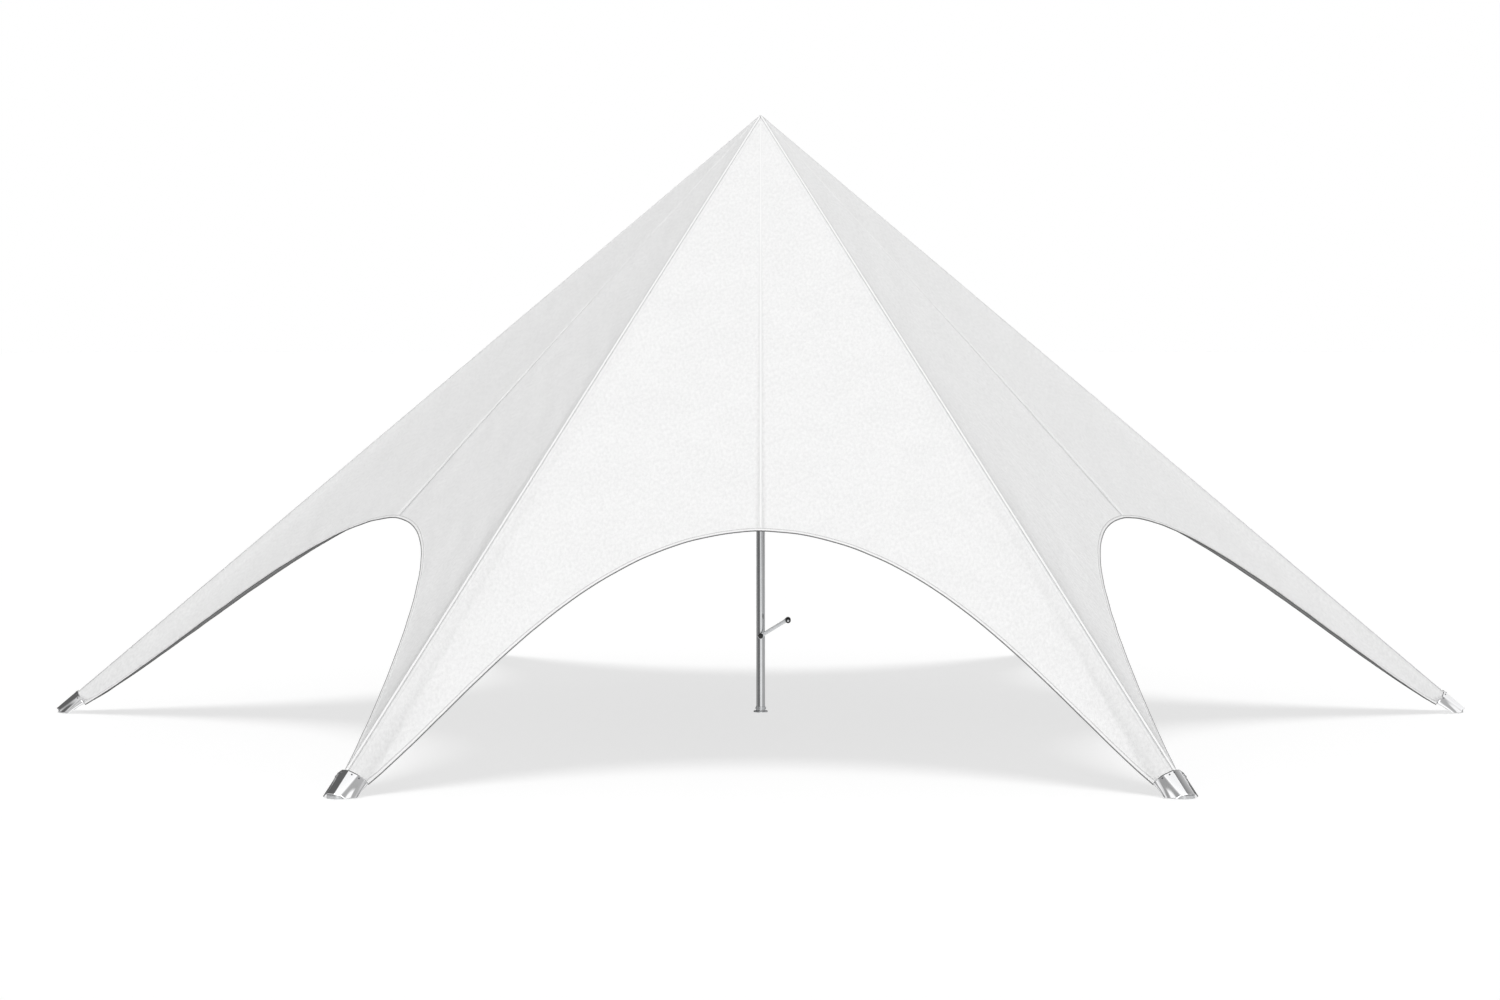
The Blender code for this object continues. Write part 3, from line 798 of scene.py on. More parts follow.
@dataclass(frozen=True)
class CanopyShape:
    """The shape that all fabric pieces lie on."""

    bays: int = 6
    foot_radius: float = 7.000
    apex_height: float = 5.884
    arch_share: tuple[float, ...] = (0.6490, 1.7063, 0.5120, -5.8724)
    arch_lift: tuple[float, ...] = (-0.0055, -0.0132, -0.9380, 3.9814)
    foot_curl: float = 1.5
    arch_end: float = 3.196
    leg_share: float = 0.9750
    curl_power: float = 3.0
    belly: float = 0.012  # how far the cloth dips between a ridge and the bay's middle
    gutter: float = 0.0032  # depth of the fold beside the ridge tape near a foot
    gutter_half: float = 0.034
    gutter_start: float = 0.026
    crease: float = 0.0011
    crease_turns: tuple[float, float] = (38.0, -41.0)
    crease_spread: float = 0.22
    crease_pitch: tuple[float, float] = (0.16, 0.48)
    crease_waves: int = 9
    calm_edge: float = 0.12  # the creases fade out this far from a ridge

    @property
    def half_bay(self) -> float:
        """Half of the angle between two legs."""
        return math.pi / self.bays

    @property
    def bay_reach(self) -> float:
        """From the mast to the line between two neighbouring feet."""
        return self.foot_radius * math.cos(self.half_bay)

    @property
    def foot_side(self) -> float:
        """From a bay's middle line to a foot, on the ground."""
        return self.foot_radius * math.sin(self.half_bay)

    @property
    def slope_length(self) -> float:
        """From the apex to the ground down a bay's middle line."""
        return math.hypot(self.bay_reach, self.apex_height)

    @property
    def ridge_length(self) -> float:
        """From the apex to the ground down a ridge."""
        return math.hypot(self.foot_radius, self.apex_height)

    def leg_azimuth(self, number: int) -> float:
        """Azimuth of a leg."""
        return 2 * (number - 1) * self.half_bay

    def bay_azimuth(self, number: int) -> float:
        """Azimuth of a bay's middle line."""
        return (2 * number - 1) * self.half_bay

    def bay_normal(self, azimuth: float) -> Array:
        """Direction square out of a bay's plane."""
        return (compass(azimuth)[0] * self.apex_height + UP * self.bay_reach) / self.slope_length

    def arch_edge(self, sideways: Array) -> tuple[Array, Array]:
        """Share and lift of the arch's edge: sums of even powers of sideways over the foot radius."""
        square = (np.asarray(sideways) / self.foot_radius) ** 2
        share = np.polynomial.polynomial.polyval(square, self.arch_share)
        return share, self.foot_radius * np.polynomial.polynomial.polyval(square, self.arch_lift)

    def arch_inset(self, sideways: Array, inset: Array | float) -> tuple[Array, Array]:
        """Sideways and share of the points that lie inset inside the arch's edge, square to it."""
        step = 0.001
        ahead, behind = self.arch_edge(sideways + step)[0], self.arch_edge(sideways - step)[0]
        rise = self.slope_length * (ahead - behind) / (2 * step)
        square = np.hypot(1.0, rise)
        share = self.arch_edge(sideways)[0] - inset / square / self.slope_length
        return sideways + inset * rise / square, share

    def boundary(self, arch_steps: int, foot_steps: int, inset: float) -> tuple[Array, Array, Array]:
        """Lower boundary of a half bay: sideways, share and lift from the arch's middle to the ridge.

        Args:
            arch_steps: steps along the arch, (i / n)^0.9 of its way sideways.
            foot_steps: steps from the arch's end to the ridge, closer together towards the ridge.
            inset: how far inside the arch's edge it runs.

        Returns:
            Three arrays.
        """
        way = self.arch_end * np.linspace(0.0, 1.0, arch_steps + 1) ** 0.9
        side, share = self.arch_inset(way, inset)
        lift = self.arch_edge(way)[1]
        on = 1.0 - (1.0 - np.linspace(0.0, 1.0, foot_steps + 1)[1:]) ** 1.5
        foot_side = side[-1] + (self.leg_share * self.foot_side - side[-1]) * on
        foot_share = share[-1] + (self.leg_share - share[-1]) * on
        return (np.concatenate((side, foot_side)), np.concatenate((share, foot_share)),
                np.concatenate((lift, lift[-1] * (1.0 - on) ** self.foot_curl)))

    def lift(self, sideways: Array, share: Array) -> Array:
        """Droop of the cloth out of the bay's plane.

        On the straight line from the apex through the point, it is the boundary's droop times the cube of the
        way to the boundary.
        """
        edge_side, edge_share, edge_lift = self.boundary(160, 40, 0.0)
        bearing = np.abs(sideways) / np.maximum(share, 1e-6)
        edge_bearing = edge_side / edge_share
        reach = share / np.interp(bearing, edge_bearing, edge_share)
        return np.interp(bearing, edge_bearing, edge_lift) * reach**self.curl_power

    def from_ridge(self, sideways: Array, share: Array) -> Array:
        """Distance from the nearer ridge, in the bay's plane."""
        down = share * self.slope_length
        return (self.foot_side * down - self.slope_length * np.abs(sideways)) / self.ridge_length

    def relief(self, sideways: Array, share: Array, number: int) -> Array:
        """Small dips and creases of the taut cloth, square to it.

        The belly is 4 b (1 - b) at a bearing b between the bay's middle and the ridge, the gutter beside
        the ridge tape is d e^(1 - d) at a distance of d gutter widths, and the creases are a sum of plane
        waves in two crossing directions.

        Args:
            sideways: distance from the bay's middle line.
            share: share of the slope.
            number: the bay's number, which seeds the creases.

        Returns:
            Height of the relief at each point.
        """
        bearing = np.clip(np.abs(sideways) / np.maximum(share, 1e-6) / self.foot_side, 0.0, 1.0)
        belly = -self.belly * 4.0 * bearing * (1.0 - bearing) * smooth_step(share, 0.02, 0.45)
        beside = np.maximum(self.from_ridge(sideways, share) - self.gutter_start, 0.0) / self.gutter_half
        gutter = -self.gutter * beside * np.exp(1.0 - beside) * smooth_step(share, 0.70, 0.92)
        random = np.random.default_rng(40 + number)
        waves = np.zeros(np.broadcast(sideways, share).shape)
        down = share * self.slope_length
        for turn in np.radians(self.crease_turns):
            for _ in range(self.crease_waves):
                angle = turn + random.normal(0.0, self.crease_spread)
                pitch = random.uniform(*self.crease_pitch)
                phase = random.uniform(0.0, 2 * math.pi)
                along = sideways * math.cos(angle) + down * math.sin(angle)
                waves = waves + pitch * np.sin(2 * math.pi * along / pitch + phase)
        calm = smooth_step(self.from_ridge(sideways, share), 0.0, self.calm_edge)
        return belly + gutter + self.crease * waves * calm

    def place(self, azimuth: float, sideways: Array, share: Array, lift: Array) -> Array:
        """World positions: out reach share + across sideways + up height (1 - share) + normal lift."""
        outward, across = compass(azimuth)
        return (outward * (self.bay_reach * share)[..., None] + across * np.asarray(sideways)[..., None]
                + UP * (self.apex_height * (1.0 - share))[..., None]
                + self.bay_normal(azimuth) * np.asarray(lift)[..., None])

    def cloth(self, number: int, sideways: Array, share: Array, above: Array | float = 0.0) -> Array:
        """World positions on a bay's cloth, at its outer face or above it."""
        lift = self.lift(sideways, share) + self.relief(sideways, share, number) + above
        return self.place(self.bay_azimuth(number), sideways, share, lift)

    def ridge(self, azimuth: float, share: Array) -> Array:
        """World positions down a ridge."""
        out, rise = self.foot_radius * share, self.apex_height * (1.0 - share)
        return compass(azimuth)[0] * out[..., None] + UP * rise[..., None]

    def ridge_frame(self, azimuth: float) -> tuple[Array, Array, Array]:
        """Directions at a ridge: down along it, across it and square out of it."""
        outward, across = compass(azimuth)
        along = (outward * self.foot_radius - UP * self.apex_height) / self.ridge_length
        return along, across, np.cross(along, across)

    def ridge_fall(self) -> float:
        """Depth of the cloth below the ridge for each metre across it."""
        _, across, out = self.ridge_frame(0.0)
        normal = self.bay_normal(self.half_bay)
        return float(normal @ across / (normal @ out))


@dataclass(frozen=True)
class BayPanel:
    """One of the twelve cloth panels, half of a bay, from the apex to the arch and the shoe."""

    shape: CanopyShape
    number: int
    side: Side
    arch_steps: int = 72
    foot_steps: int = 16
    rows: int = 120
    top_share: float = 0.004
    edge_inset: float = 0.006
    thickness: float = 0.0012

    def flat_size(self) -> Triple:
        """Width, length and area of the panel's flat cut.

        The cut's long side is the ridge. Its width is the arch top's distance from the ridge, and its area
        the boundary's, by the shoelace sum in the bay's plane.
        """
        side, share, _ = self.shape.boundary(self.arch_steps, self.foot_steps, self.edge_inset)
        x = np.concatenate(([0.0], side))
        y = np.concatenate(([0.0], share * self.shape.slope_length))
        area = 0.5 * abs(float(np.sum(x * np.roll(y, -1) - y * np.roll(x, -1))))
        width = float(self.shape.from_ridge(side[:1], share[:1])[0])
        return width, self.shape.leg_share * self.shape.ridge_length, area

    def build(self, finishes: Finishes) -> bpy.types.Object:
        """Makes the panel: straight lines from the apex to the boundary, with the cloth's relief."""
        shape = self.shape
        side, share, _ = shape.boundary(self.arch_steps, self.foot_steps, self.edge_inset)
        top = self.top_share / share
        reach = top + (1.0 - top) * np.linspace(0.0, 1.0, self.rows + 1)[:, None]
        sideways, shares = reach * side * self.side.value, reach * share
        points = shape.cloth(self.number, sideways, shares)
        uv = np.stack((sideways + 10.0 * self.number, shares * shape.slope_length), axis=-1)
        surface = Surface(points, uv) if self.side is Side.RIGHT else Surface(points, uv).flipped()
        label = f"{self.number}_{self.side.name.lower()}"
        panel = add_piece(f"panel_{label}", [surface], finishes.fabric, Body.BASE,
                          (f"canopy_panel_{label}",), weld=False)
        thicken(panel, self.thickness)
        width, length, area = self.flat_size()
        sink_with_mast(panel)
        return panel


def ribbon(width: float, thickness: float, edge: float = 0.0008, steps: int = 3) -> Array:
    """Section of a flat tape: (across, up) from its left foot over the top to its right foot, softened."""
    half = width / 2
    corners = np.array(((-half, -edge), (-half, thickness), (0.0, thickness), (half, thickness),
                        (half, -edge)))
    return rounded(corners, np.array((edge, width * 0.1, edge)), steps)


@dataclass(frozen=True)
class BaySeam:
    """The flat seam down a bay's middle, where its two panels are sewn together."""

    shape: CanopyShape
    number: int
    width: float = 0.022
    thickness: float = 0.0014
    top_share: float = 0.006
    lap: float = 0.004  # how far it runs under the hem
    spread: float = 30.0  # it has its full width at one part in this many of the slope
    rows: int = 150

    def build(self, finishes: Finishes) -> bpy.types.Object:
        """Makes the seam: a ribbon that lies on the cloth, at (across, up) from the bay's middle line."""
        shape = self.shape
        section = ribbon(self.width, self.thickness)
        bottom = float(shape.arch_edge(np.zeros(1))[0][0]) - (ArchHem.width - self.lap) / shape.slope_length
        share = np.linspace(self.top_share, bottom, self.rows + 1)[:, None]
        sideways = section[:, 0] * np.minimum(1.0, share * self.spread)
        share = share + 0.0 * sideways
        points = shape.cloth(self.number, sideways, share, section[:, 1])
        uv = np.stack((section[:, 0] + 0.0 * share, share * shape.slope_length), axis=-1)
        seam = add_piece(f"bay_seam_{self.number}", [Surface(points, uv)], finishes.seam_tape,
                         Body.BASE)
        sink_with_mast(seam)
        return seam


@dataclass(frozen=True)
class RidgeTape:
    """The tape sewn over a ridge, folded along its middle."""

    shape: CanopyShape
    number: int
    half_width: float = 0.0205
    thickness: float = 0.0028
    row: float = 0.0160
    fold: float = 0.007
    edge: float = 0.0008
    top_share: float = 0.003
    bottom_share: float = 0.9765
    rows: int = 160

    def build(self, finishes: Finishes) -> bpy.types.Object:
        """Makes the tape: its section, bent down at the fold, carried straight down the ridge."""
        shape = self.shape
        azimuth = shape.leg_azimuth(self.number)
        _, across, out = shape.ridge_frame(azimuth)
        half = self.half_width / math.hypot(1.0, shape.ridge_fall())
        foot = -shape.ridge_fall() * half
        corners = np.array(((-half, foot - self.edge), (-half, foot + self.thickness), (0.0, self.thickness),
                            (half, foot + self.thickness), (half, foot - self.edge)))
        section = rounded(corners, np.array((self.edge, self.fold, self.edge)), 4)
        share = np.linspace(self.top_share, self.bottom_share, self.rows + 1)
        surface = swept(shape.ridge(azimuth, share), section, across, out)
        surface.uv[..., 0] -= surface.uv[..., 0].max() / 2
        tape = add_piece(f"ridge_tape_{self.number}", [surface], finishes.ridge_tape,
                         Body.BASE, (f"ridge_belt_{self.number}",), sharp=60.0)
        sink_with_mast(tape)
        return tape


@dataclass(frozen=True)
class ArchHem:
    """The doubled hem along an arch and the rope at its very edge."""

    shape: CanopyShape
    number: int
    width: float = 0.040
    thickness: float = 0.0016
    cloth: float = 0.0012
    start: float = 0.0045
    edge: float = 0.0009
    rope_radius: float = 0.0055
    rope_sides: int = 12
    steps: int = 220

    def stations(self) -> Array:
        """Ways sideways along the whole arch, from the left leg to the right one."""
        way = np.linspace(-1.0, 1.0, self.steps + 1)
        return self.shape.arch_end * np.sign(way) * np.abs(way) ** 0.9

    def build(self, finishes: Finishes) -> list[bpy.types.Object]:
        """Makes the hem and the rope."""
        pieces = [self.hem(finishes), self.rope(finishes)]
        for piece in pieces:
            sink_with_mast(piece)
        return pieces

    def hem(self, finishes: Finishes) -> bpy.types.Object:
        """The hem: a flat closed section round the cloth's edge, at (inset, up) from the arch's edge."""
        low, high = -self.cloth - self.thickness, self.thickness
        corners = np.array(((self.width, 0.0), (self.width, high), (self.start, high), (self.start, low),
                            (self.width, low), (self.width, 0.0)))
        section = rounded(corners, self.edge, 3)
        sideways, share = self.shape.arch_inset(self.stations()[:, None], section[:, 0])
        points = self.shape.cloth(self.number, sideways, share, section[:, 1])
        along = lengths(points[:, 0])[:, None] + 0.0 * sideways
        uv = np.stack((section[:, 0] + 0.0 * sideways, along), axis=-1)
        surface = Surface(points, uv)
        return add_piece(f"arch_hem_{self.number}", [surface, *end_caps(surface)], finishes.hem_tape,
                         Body.BASE)

    def rope(self, finishes: Finishes) -> bpy.types.Object:
        """The rope: a circle carried along the arch's edge."""
        shape = self.shape
        sideways, share = shape.arch_inset(self.stations(), self.rope_radius)
        path = shape.cloth(self.number, sideways, share, -self.cloth / 2)
        tangent = unit(np.gradient(path, axis=0))
        side = unit(np.cross(tangent, shape.bay_normal(shape.bay_azimuth(self.number))))
        turn = np.linspace(0.0, 2 * math.pi, self.rope_sides + 1)
        circle = self.rope_radius * np.column_stack((np.cos(turn), np.sin(turn)))
        surface = swept(path, circle, side, np.cross(side, tangent))
        return add_piece(f"arch_rope_{self.number}", [surface, *end_caps(surface)], finishes.rope,
                         Body.BASE, (f"arch_edge_{self.number}",))


@dataclass(frozen=True)
class PeakCap:
    """The pointed fabric cap over the apex, with a softened tip."""

    shape: CanopyShape
    rim_share: float = 0.0095
    above: float = 0.0014
    blunt: float = 0.007
    around: float = 0.12  # metres of its UV map for each radian
    thickness: float = 0.0010
    rows: int = 26
    steps: int = 144

    def build(self, finishes: Finishes) -> bpy.types.Object:
        """Makes the cap.

        Its radius is share x reach / cos(angle to the nearest bay's middle), so it has the canopy's six
        ridges. Near the tip its height follows a hyperbola: the pyramid's height is lowered by half of
        (sqrt(r^2 + blunt^2) - r) times the slope.
        """
        shape = self.shape
        angle = np.linspace(0.0, 2 * math.pi, self.steps + 1)
        share = self.rim_share * np.linspace(0.0, 1.0, self.rows + 1)[:, None] ** 1.3
        turn = (angle % (2 * shape.half_bay)) - shape.half_bay
        radius = share * shape.bay_reach / np.cos(turn)
        slope = shape.apex_height / shape.bay_reach
        drop = (np.sqrt(radius**2 + self.blunt**2) - radius) * slope * 0.5
        height = shape.apex_height * (1.0 - share) + self.above * math.hypot(1.0, slope) - drop
        down = shape.slope_length * (self.rim_share - share)
        uv = np.stack((angle * self.around + 0.0 * share, down + 0.0 * angle), axis=-1)
        cap = add_piece("peak_tip", [Surface(polar(radius, angle, height), uv)], finishes.fabric,
                        Body.BASE, ("peak_cap",), sharp=60.0)
        thicken(cap, self.thickness)
        sink_with_mast(cap)
        return cap


# Shoes and foot plates


@dataclass(frozen=True)
class LegShoe:
    """The folded, polished steel hood over a leg's end, its screws and the plate it straddles."""

    shape: CanopyShape
    number: int
    top_share: float = 0.9645
    raised: float = 0.008
    sheet: float = 0.004
    top: tuple[tuple[float, float], ...] = (
        (0.034, 0.0), (0.072, 0.024), (0.109, 0.048), (0.138, 0.082), (0.152, 0.106), (0.158, 0.152))
    toe: tuple[tuple[float, float], ...] = (
        (0.034, 0.0), (0.056, 0.017), (0.078, 0.034), (0.104, 0.060), (0.136, 0.078), (0.170, 0.098))
    toe_way: float = 0.270  # down the leg from the upper edge to the toe
    run: tuple[float, ...] = (0.270, 0.262, 0.252, 0.257, 0.228, 0.190)  # of each line of the section
    fold: float = 0.006
    bulge: float = 0.006
    rows: int = 24
    screw_radius: float = 0.0075
    screw_height: float = 0.0050
    screw_way: float = 0.10
    screw_places: tuple[float, ...] = (-0.122, -0.060, 0.0, 0.060, 0.122)
    sole: tuple[tuple[float, float], ...] = (  # distance from the mast and half width
        (6.840, 0.084), (6.885, 0.084), (6.915, 0.074), (6.935, 0.060), (6.946, 0.042))
    sole_corner: float = 0.012
    sole_bevel: float = 0.0025

    def section(self) -> Array:
        """Across and depth at the upper edge, the same at the toe, and the run, for each line of the sheet.

        The folds beside the middle are crisp and the wings softly curved.
        """
        right = np.column_stack((self.top, self.toe, self.run))
        corners = np.concatenate((right[::-1] * (-1, 1, -1, 1, 1), right))
        wing = np.full(len(right) - 3, 1.0)
        return rounded(corners, np.concatenate((wing, (self.fold,) * 4, wing)), 6)

    def sheet_points(self, share: Array) -> Array:
        """World positions of the sheet's outer face.

        With the way w = run x share and the mix w / toe way, point = upper edge + along x w + across x side +
        out x (raised - depth + bulge x 4 share (1 - share) x wing), where side and depth go from the upper
        section to the toe's with the mix, and wing rises from 0 at the middle to 1 at the sides.

        Args:
            share: one row of shares for each row of the surface, one column for each line of the sheet.

        Returns:
            The grid of positions.
        """
        azimuth = self.shape.leg_azimuth(self.number)
        along, across, out = self.shape.ridge_frame(azimuth)
        section = self.section()
        way = section[:, 4] * share
        mixed = section[:, :2] + (section[:, 2:4] - section[:, :2]) * (way / self.toe_way)[..., None]
        wing = smooth_step(np.abs(section[:, 0]), self.top[2][0], self.top[-1][0])
        start = self.shape.ridge(azimuth, np.array(self.top_share))
        height = self.raised - mixed[..., 1] + self.bulge * 4.0 * share * (1.0 - share) * wing
        return start + along * way[..., None] + across * mixed[..., :1] + out * height[..., None]

    def build(self, finishes: Finishes) -> list[bpy.types.Object]:
        """Makes the shoe, its screws and its plate."""
        around = lengths(self.section()[:, :2])
        share = np.linspace(0.0, 1.0, self.rows + 1)[:, None] + 0.0 * around
        uv = np.stack((around + 0.0 * share, share * self.toe_way), axis=-1)
        hood = add_piece(f"shoe_hood_{self.number}", [Surface(self.sheet_points(share), uv)], finishes.shoe,
                         Body.BASE, (f"leg_shoe_{self.number}",), sharp=50.0)
        thicken(hood, self.sheet)
        return [hood, self.screws(finishes), self.plate(finishes)]

    def screws(self, finishes: Finishes) -> bpy.types.Object:
        """The button-head screws near the upper edge, each square to the sheet."""
        across = self.section()[:, 0]
        column = np.argmin(np.abs(across[:, None] - np.array(self.screw_places)), axis=0)
        way = np.array((self.screw_way, self.screw_way + 0.01))[:, None] + np.zeros(len(across))
        points = self.sheet_points(way)
        spots = points[0, column]
        slant = points[0, column + 1] - points[0, column - 1]
        normals = unit(np.cross(points[1, column] - spots, slant))
        head = fastener(Head.BUTTON, self.screw_radius, self.screw_height)
        surfaces = [head.aimed(spot, normal) for spot, normal in zip(spots, normals)]
        return add_piece(f"shoe_screws_{self.number}", surfaces, finishes.bolt, Body.BASE)

    def plate(self, finishes: Finishes) -> bpy.types.Object:
        """The foot plate: a tongue with a rounded toe inside the sheet, softened at its rim."""
        low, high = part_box("foot_plate_1")
        right = np.array(self.sole)
        corners = np.concatenate((right * (1, -1), right[::-1]))
        start = (corners[0] + corners[-1]) / 2
        loop = np.concatenate(([start], corners, [start]))
        outline = rounded(loop, self.sole_corner, 4)
        spine = np.broadcast_to(((low.x + high.x) / 2, 0.0), outline.shape)
        surface = flat_plate(outline, spine, low.z, high.z, self.sole_bevel)
        return add_piece(f"foot_sole_{self.number}", [surface.spun(self.shape.leg_azimuth(self.number))],
                         finishes.plate, Body.BASE, (f"foot_plate_{self.number}",))


# Mast


@dataclass(frozen=True)
class Mast:
    """The base plate with its socket, the two tubes, the guide collar and the head."""

    bevel: float = 0.0015
    wall: float = 0.0035
    inner_wall: float = 0.0030
    round_steps: int = 96
    collar_band: float = 0.0025
    neck_wall: float = 0.010
    head_rim: float = 0.012
    head_tip: float = 0.016
    base_bolts: int = 4
    base_bolt_ring: float = 0.0575
    bolt_radius: float = 0.0065
    bolt_height: float = 0.0055
    weld_radius: float = 0.0045
    clamp_height: float = 0.022
    screw_stretch: float = 1.4  # a clamping screw's height over a bolt's
    screw_raise: float = 0.004  # above the socket's middle
    screw_sunk: float = 0.0006

    def build(self, finishes: Finishes) -> list[bpy.types.Object]:
        """Makes the mast's pieces, each on its solid's sizes."""
        return [self.base_plate(finishes), self.socket(finishes), self.lower_tube(finishes),
                self.collar(finishes), self.upper_tube(finishes), self.head(finishes),
                self.bolts(finishes)]

    def tube(self, node: str, wall: float) -> Surface:
        """A tube on a solid's box: outer radius and ends from the box, bore from the wall."""
        low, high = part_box(node)
        bore = high.x - wall
        profile = [(high.x, high.z), (high.x, low.z), (bore, low.z), (bore, high.z)]
        return turned(profile, self.bevel / 2, closed=True)

    def base_plate(self, finishes: Finishes) -> bpy.types.Object:
        """The round plate on the ground."""
        low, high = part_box("mast_base_plate")
        profile = [(0.0, high.z), (high.x, high.z), (high.x, low.z), (0.0, low.z)]
        return add_piece("base_flange", [turned(profile, self.bevel, self.round_steps)], finishes.steel,
                         Body.BASE, ("mast_base_plate",))

    def socket(self, finishes: Finishes) -> bpy.types.Object:
        """The short socket with its weld bead on the plate."""
        low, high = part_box("mast_base_socket")
        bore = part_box("mast_lower_tube")[1].x + PLAY
        bead = self.weld_radius
        profile = [(high.x, high.z), (high.x, low.z + bead), (high.x + bead * 0.6, low.z + bead * 0.6),
                   (high.x + bead, low.z), (bore, low.z), (bore, high.z)]
        surface = turned(profile, self.bevel, self.round_steps, closed=True)
        return add_piece("base_socket", [surface], finishes.steel, Body.BASE,
                         ("mast_base_socket",))

    def lower_tube(self, finishes: Finishes) -> bpy.types.Object:
        """The outer tube, which stands in the socket."""
        return add_piece("outer_tube", [self.tube("mast_lower_tube", self.wall)], finishes.aluminium,
                         Body.BASE, ("mast_lower_tube",))

    def upper_tube(self, finishes: Finishes) -> bpy.types.Object:
        """The inner tube, which slides in the outer one."""
        return add_piece("inner_tube", [self.tube("mast_upper_tube", self.inner_wall)], finishes.aluminium,
                         Body.MAST_TOP, ("mast_upper_tube",))

    def collar(self, finishes: Finishes) -> bpy.types.Object:
        """The guide collar on the outer tube's top, with a grip band round its middle."""
        low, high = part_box("mast_guide_collar")
        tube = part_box("mast_lower_tube")[1]
        bore, side = tube.x + PLAY, high.x - self.collar_band
        middle = (low.z + high.z) / 2
        half = self.clamp_height / 2
        profile = [(side, high.z), (side, middle + half), (high.x, middle + half), (high.x, middle - half),
                   (side, middle - half), (side, low.z), (bore, low.z), (bore, tube.z + PLAY),
                   (tube.x - self.wall, tube.z + PLAY), (tube.x - self.wall, high.z)]
        surface = turned(profile, self.bevel, self.round_steps, closed=True)
        return add_piece("guide_collar", [surface], finishes.black, Body.BASE,
                         ("mast_guide_collar",))

    def head(self, finishes: Finishes) -> bpy.types.Object:
        """The cone under the apex, on its neck over the inner tube."""
        low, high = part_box("mast_head")
        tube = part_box("mast_upper_tube")[1]
        neck, bore = tube.x + self.neck_wall, tube.x + PLAY
        slope = CanopyShape().apex_height / CanopyShape().bay_reach
        shoulder = high.z - (high.x - self.head_tip) * slope
        under = shoulder - self.head_rim
        profile = [(0.0, high.z), (self.head_tip, high.z), (high.x, shoulder), (high.x, under), (neck, under),
                   (neck, low.z), (bore, low.z), (bore, under + PLAY), (0.0, under + PLAY)]
        return add_piece("head_cone", [turned(profile, self.bevel, self.round_steps)], finishes.aluminium,
                         Body.MAST_TOP, ("mast_head",))

    def bolts(self, finishes: Finishes) -> bpy.types.Object:
        """The bolts through the base plate, and the socket's two clamping screws at its sides."""
        plate_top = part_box("mast_base_plate")[1].z
        low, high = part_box("mast_base_socket")
        hexagon = fastener(Head.HEXAGON, self.bolt_radius, self.bolt_height)
        turns = math.pi / 4 + 2 * math.pi * np.arange(self.base_bolts) / self.base_bolts
        bolts = [hexagon.aimed(polar(self.base_bolt_ring, turn, plate_top), UP) for turn in turns]
        button = fastener(Head.BUTTON, self.bolt_radius, self.bolt_height * self.screw_stretch)
        middle = (low.z + high.z) / 2 + self.screw_raise
        screws = [button.aimed(np.array((sign * (high.x - self.screw_sunk), 0.0, middle)),
                               np.array((sign, 0.0, 0.0))) for sign in (-1.0, 1.0)]
        return add_piece("base_bolts", bolts + screws, finishes.bolt, Body.BASE)


# Crank


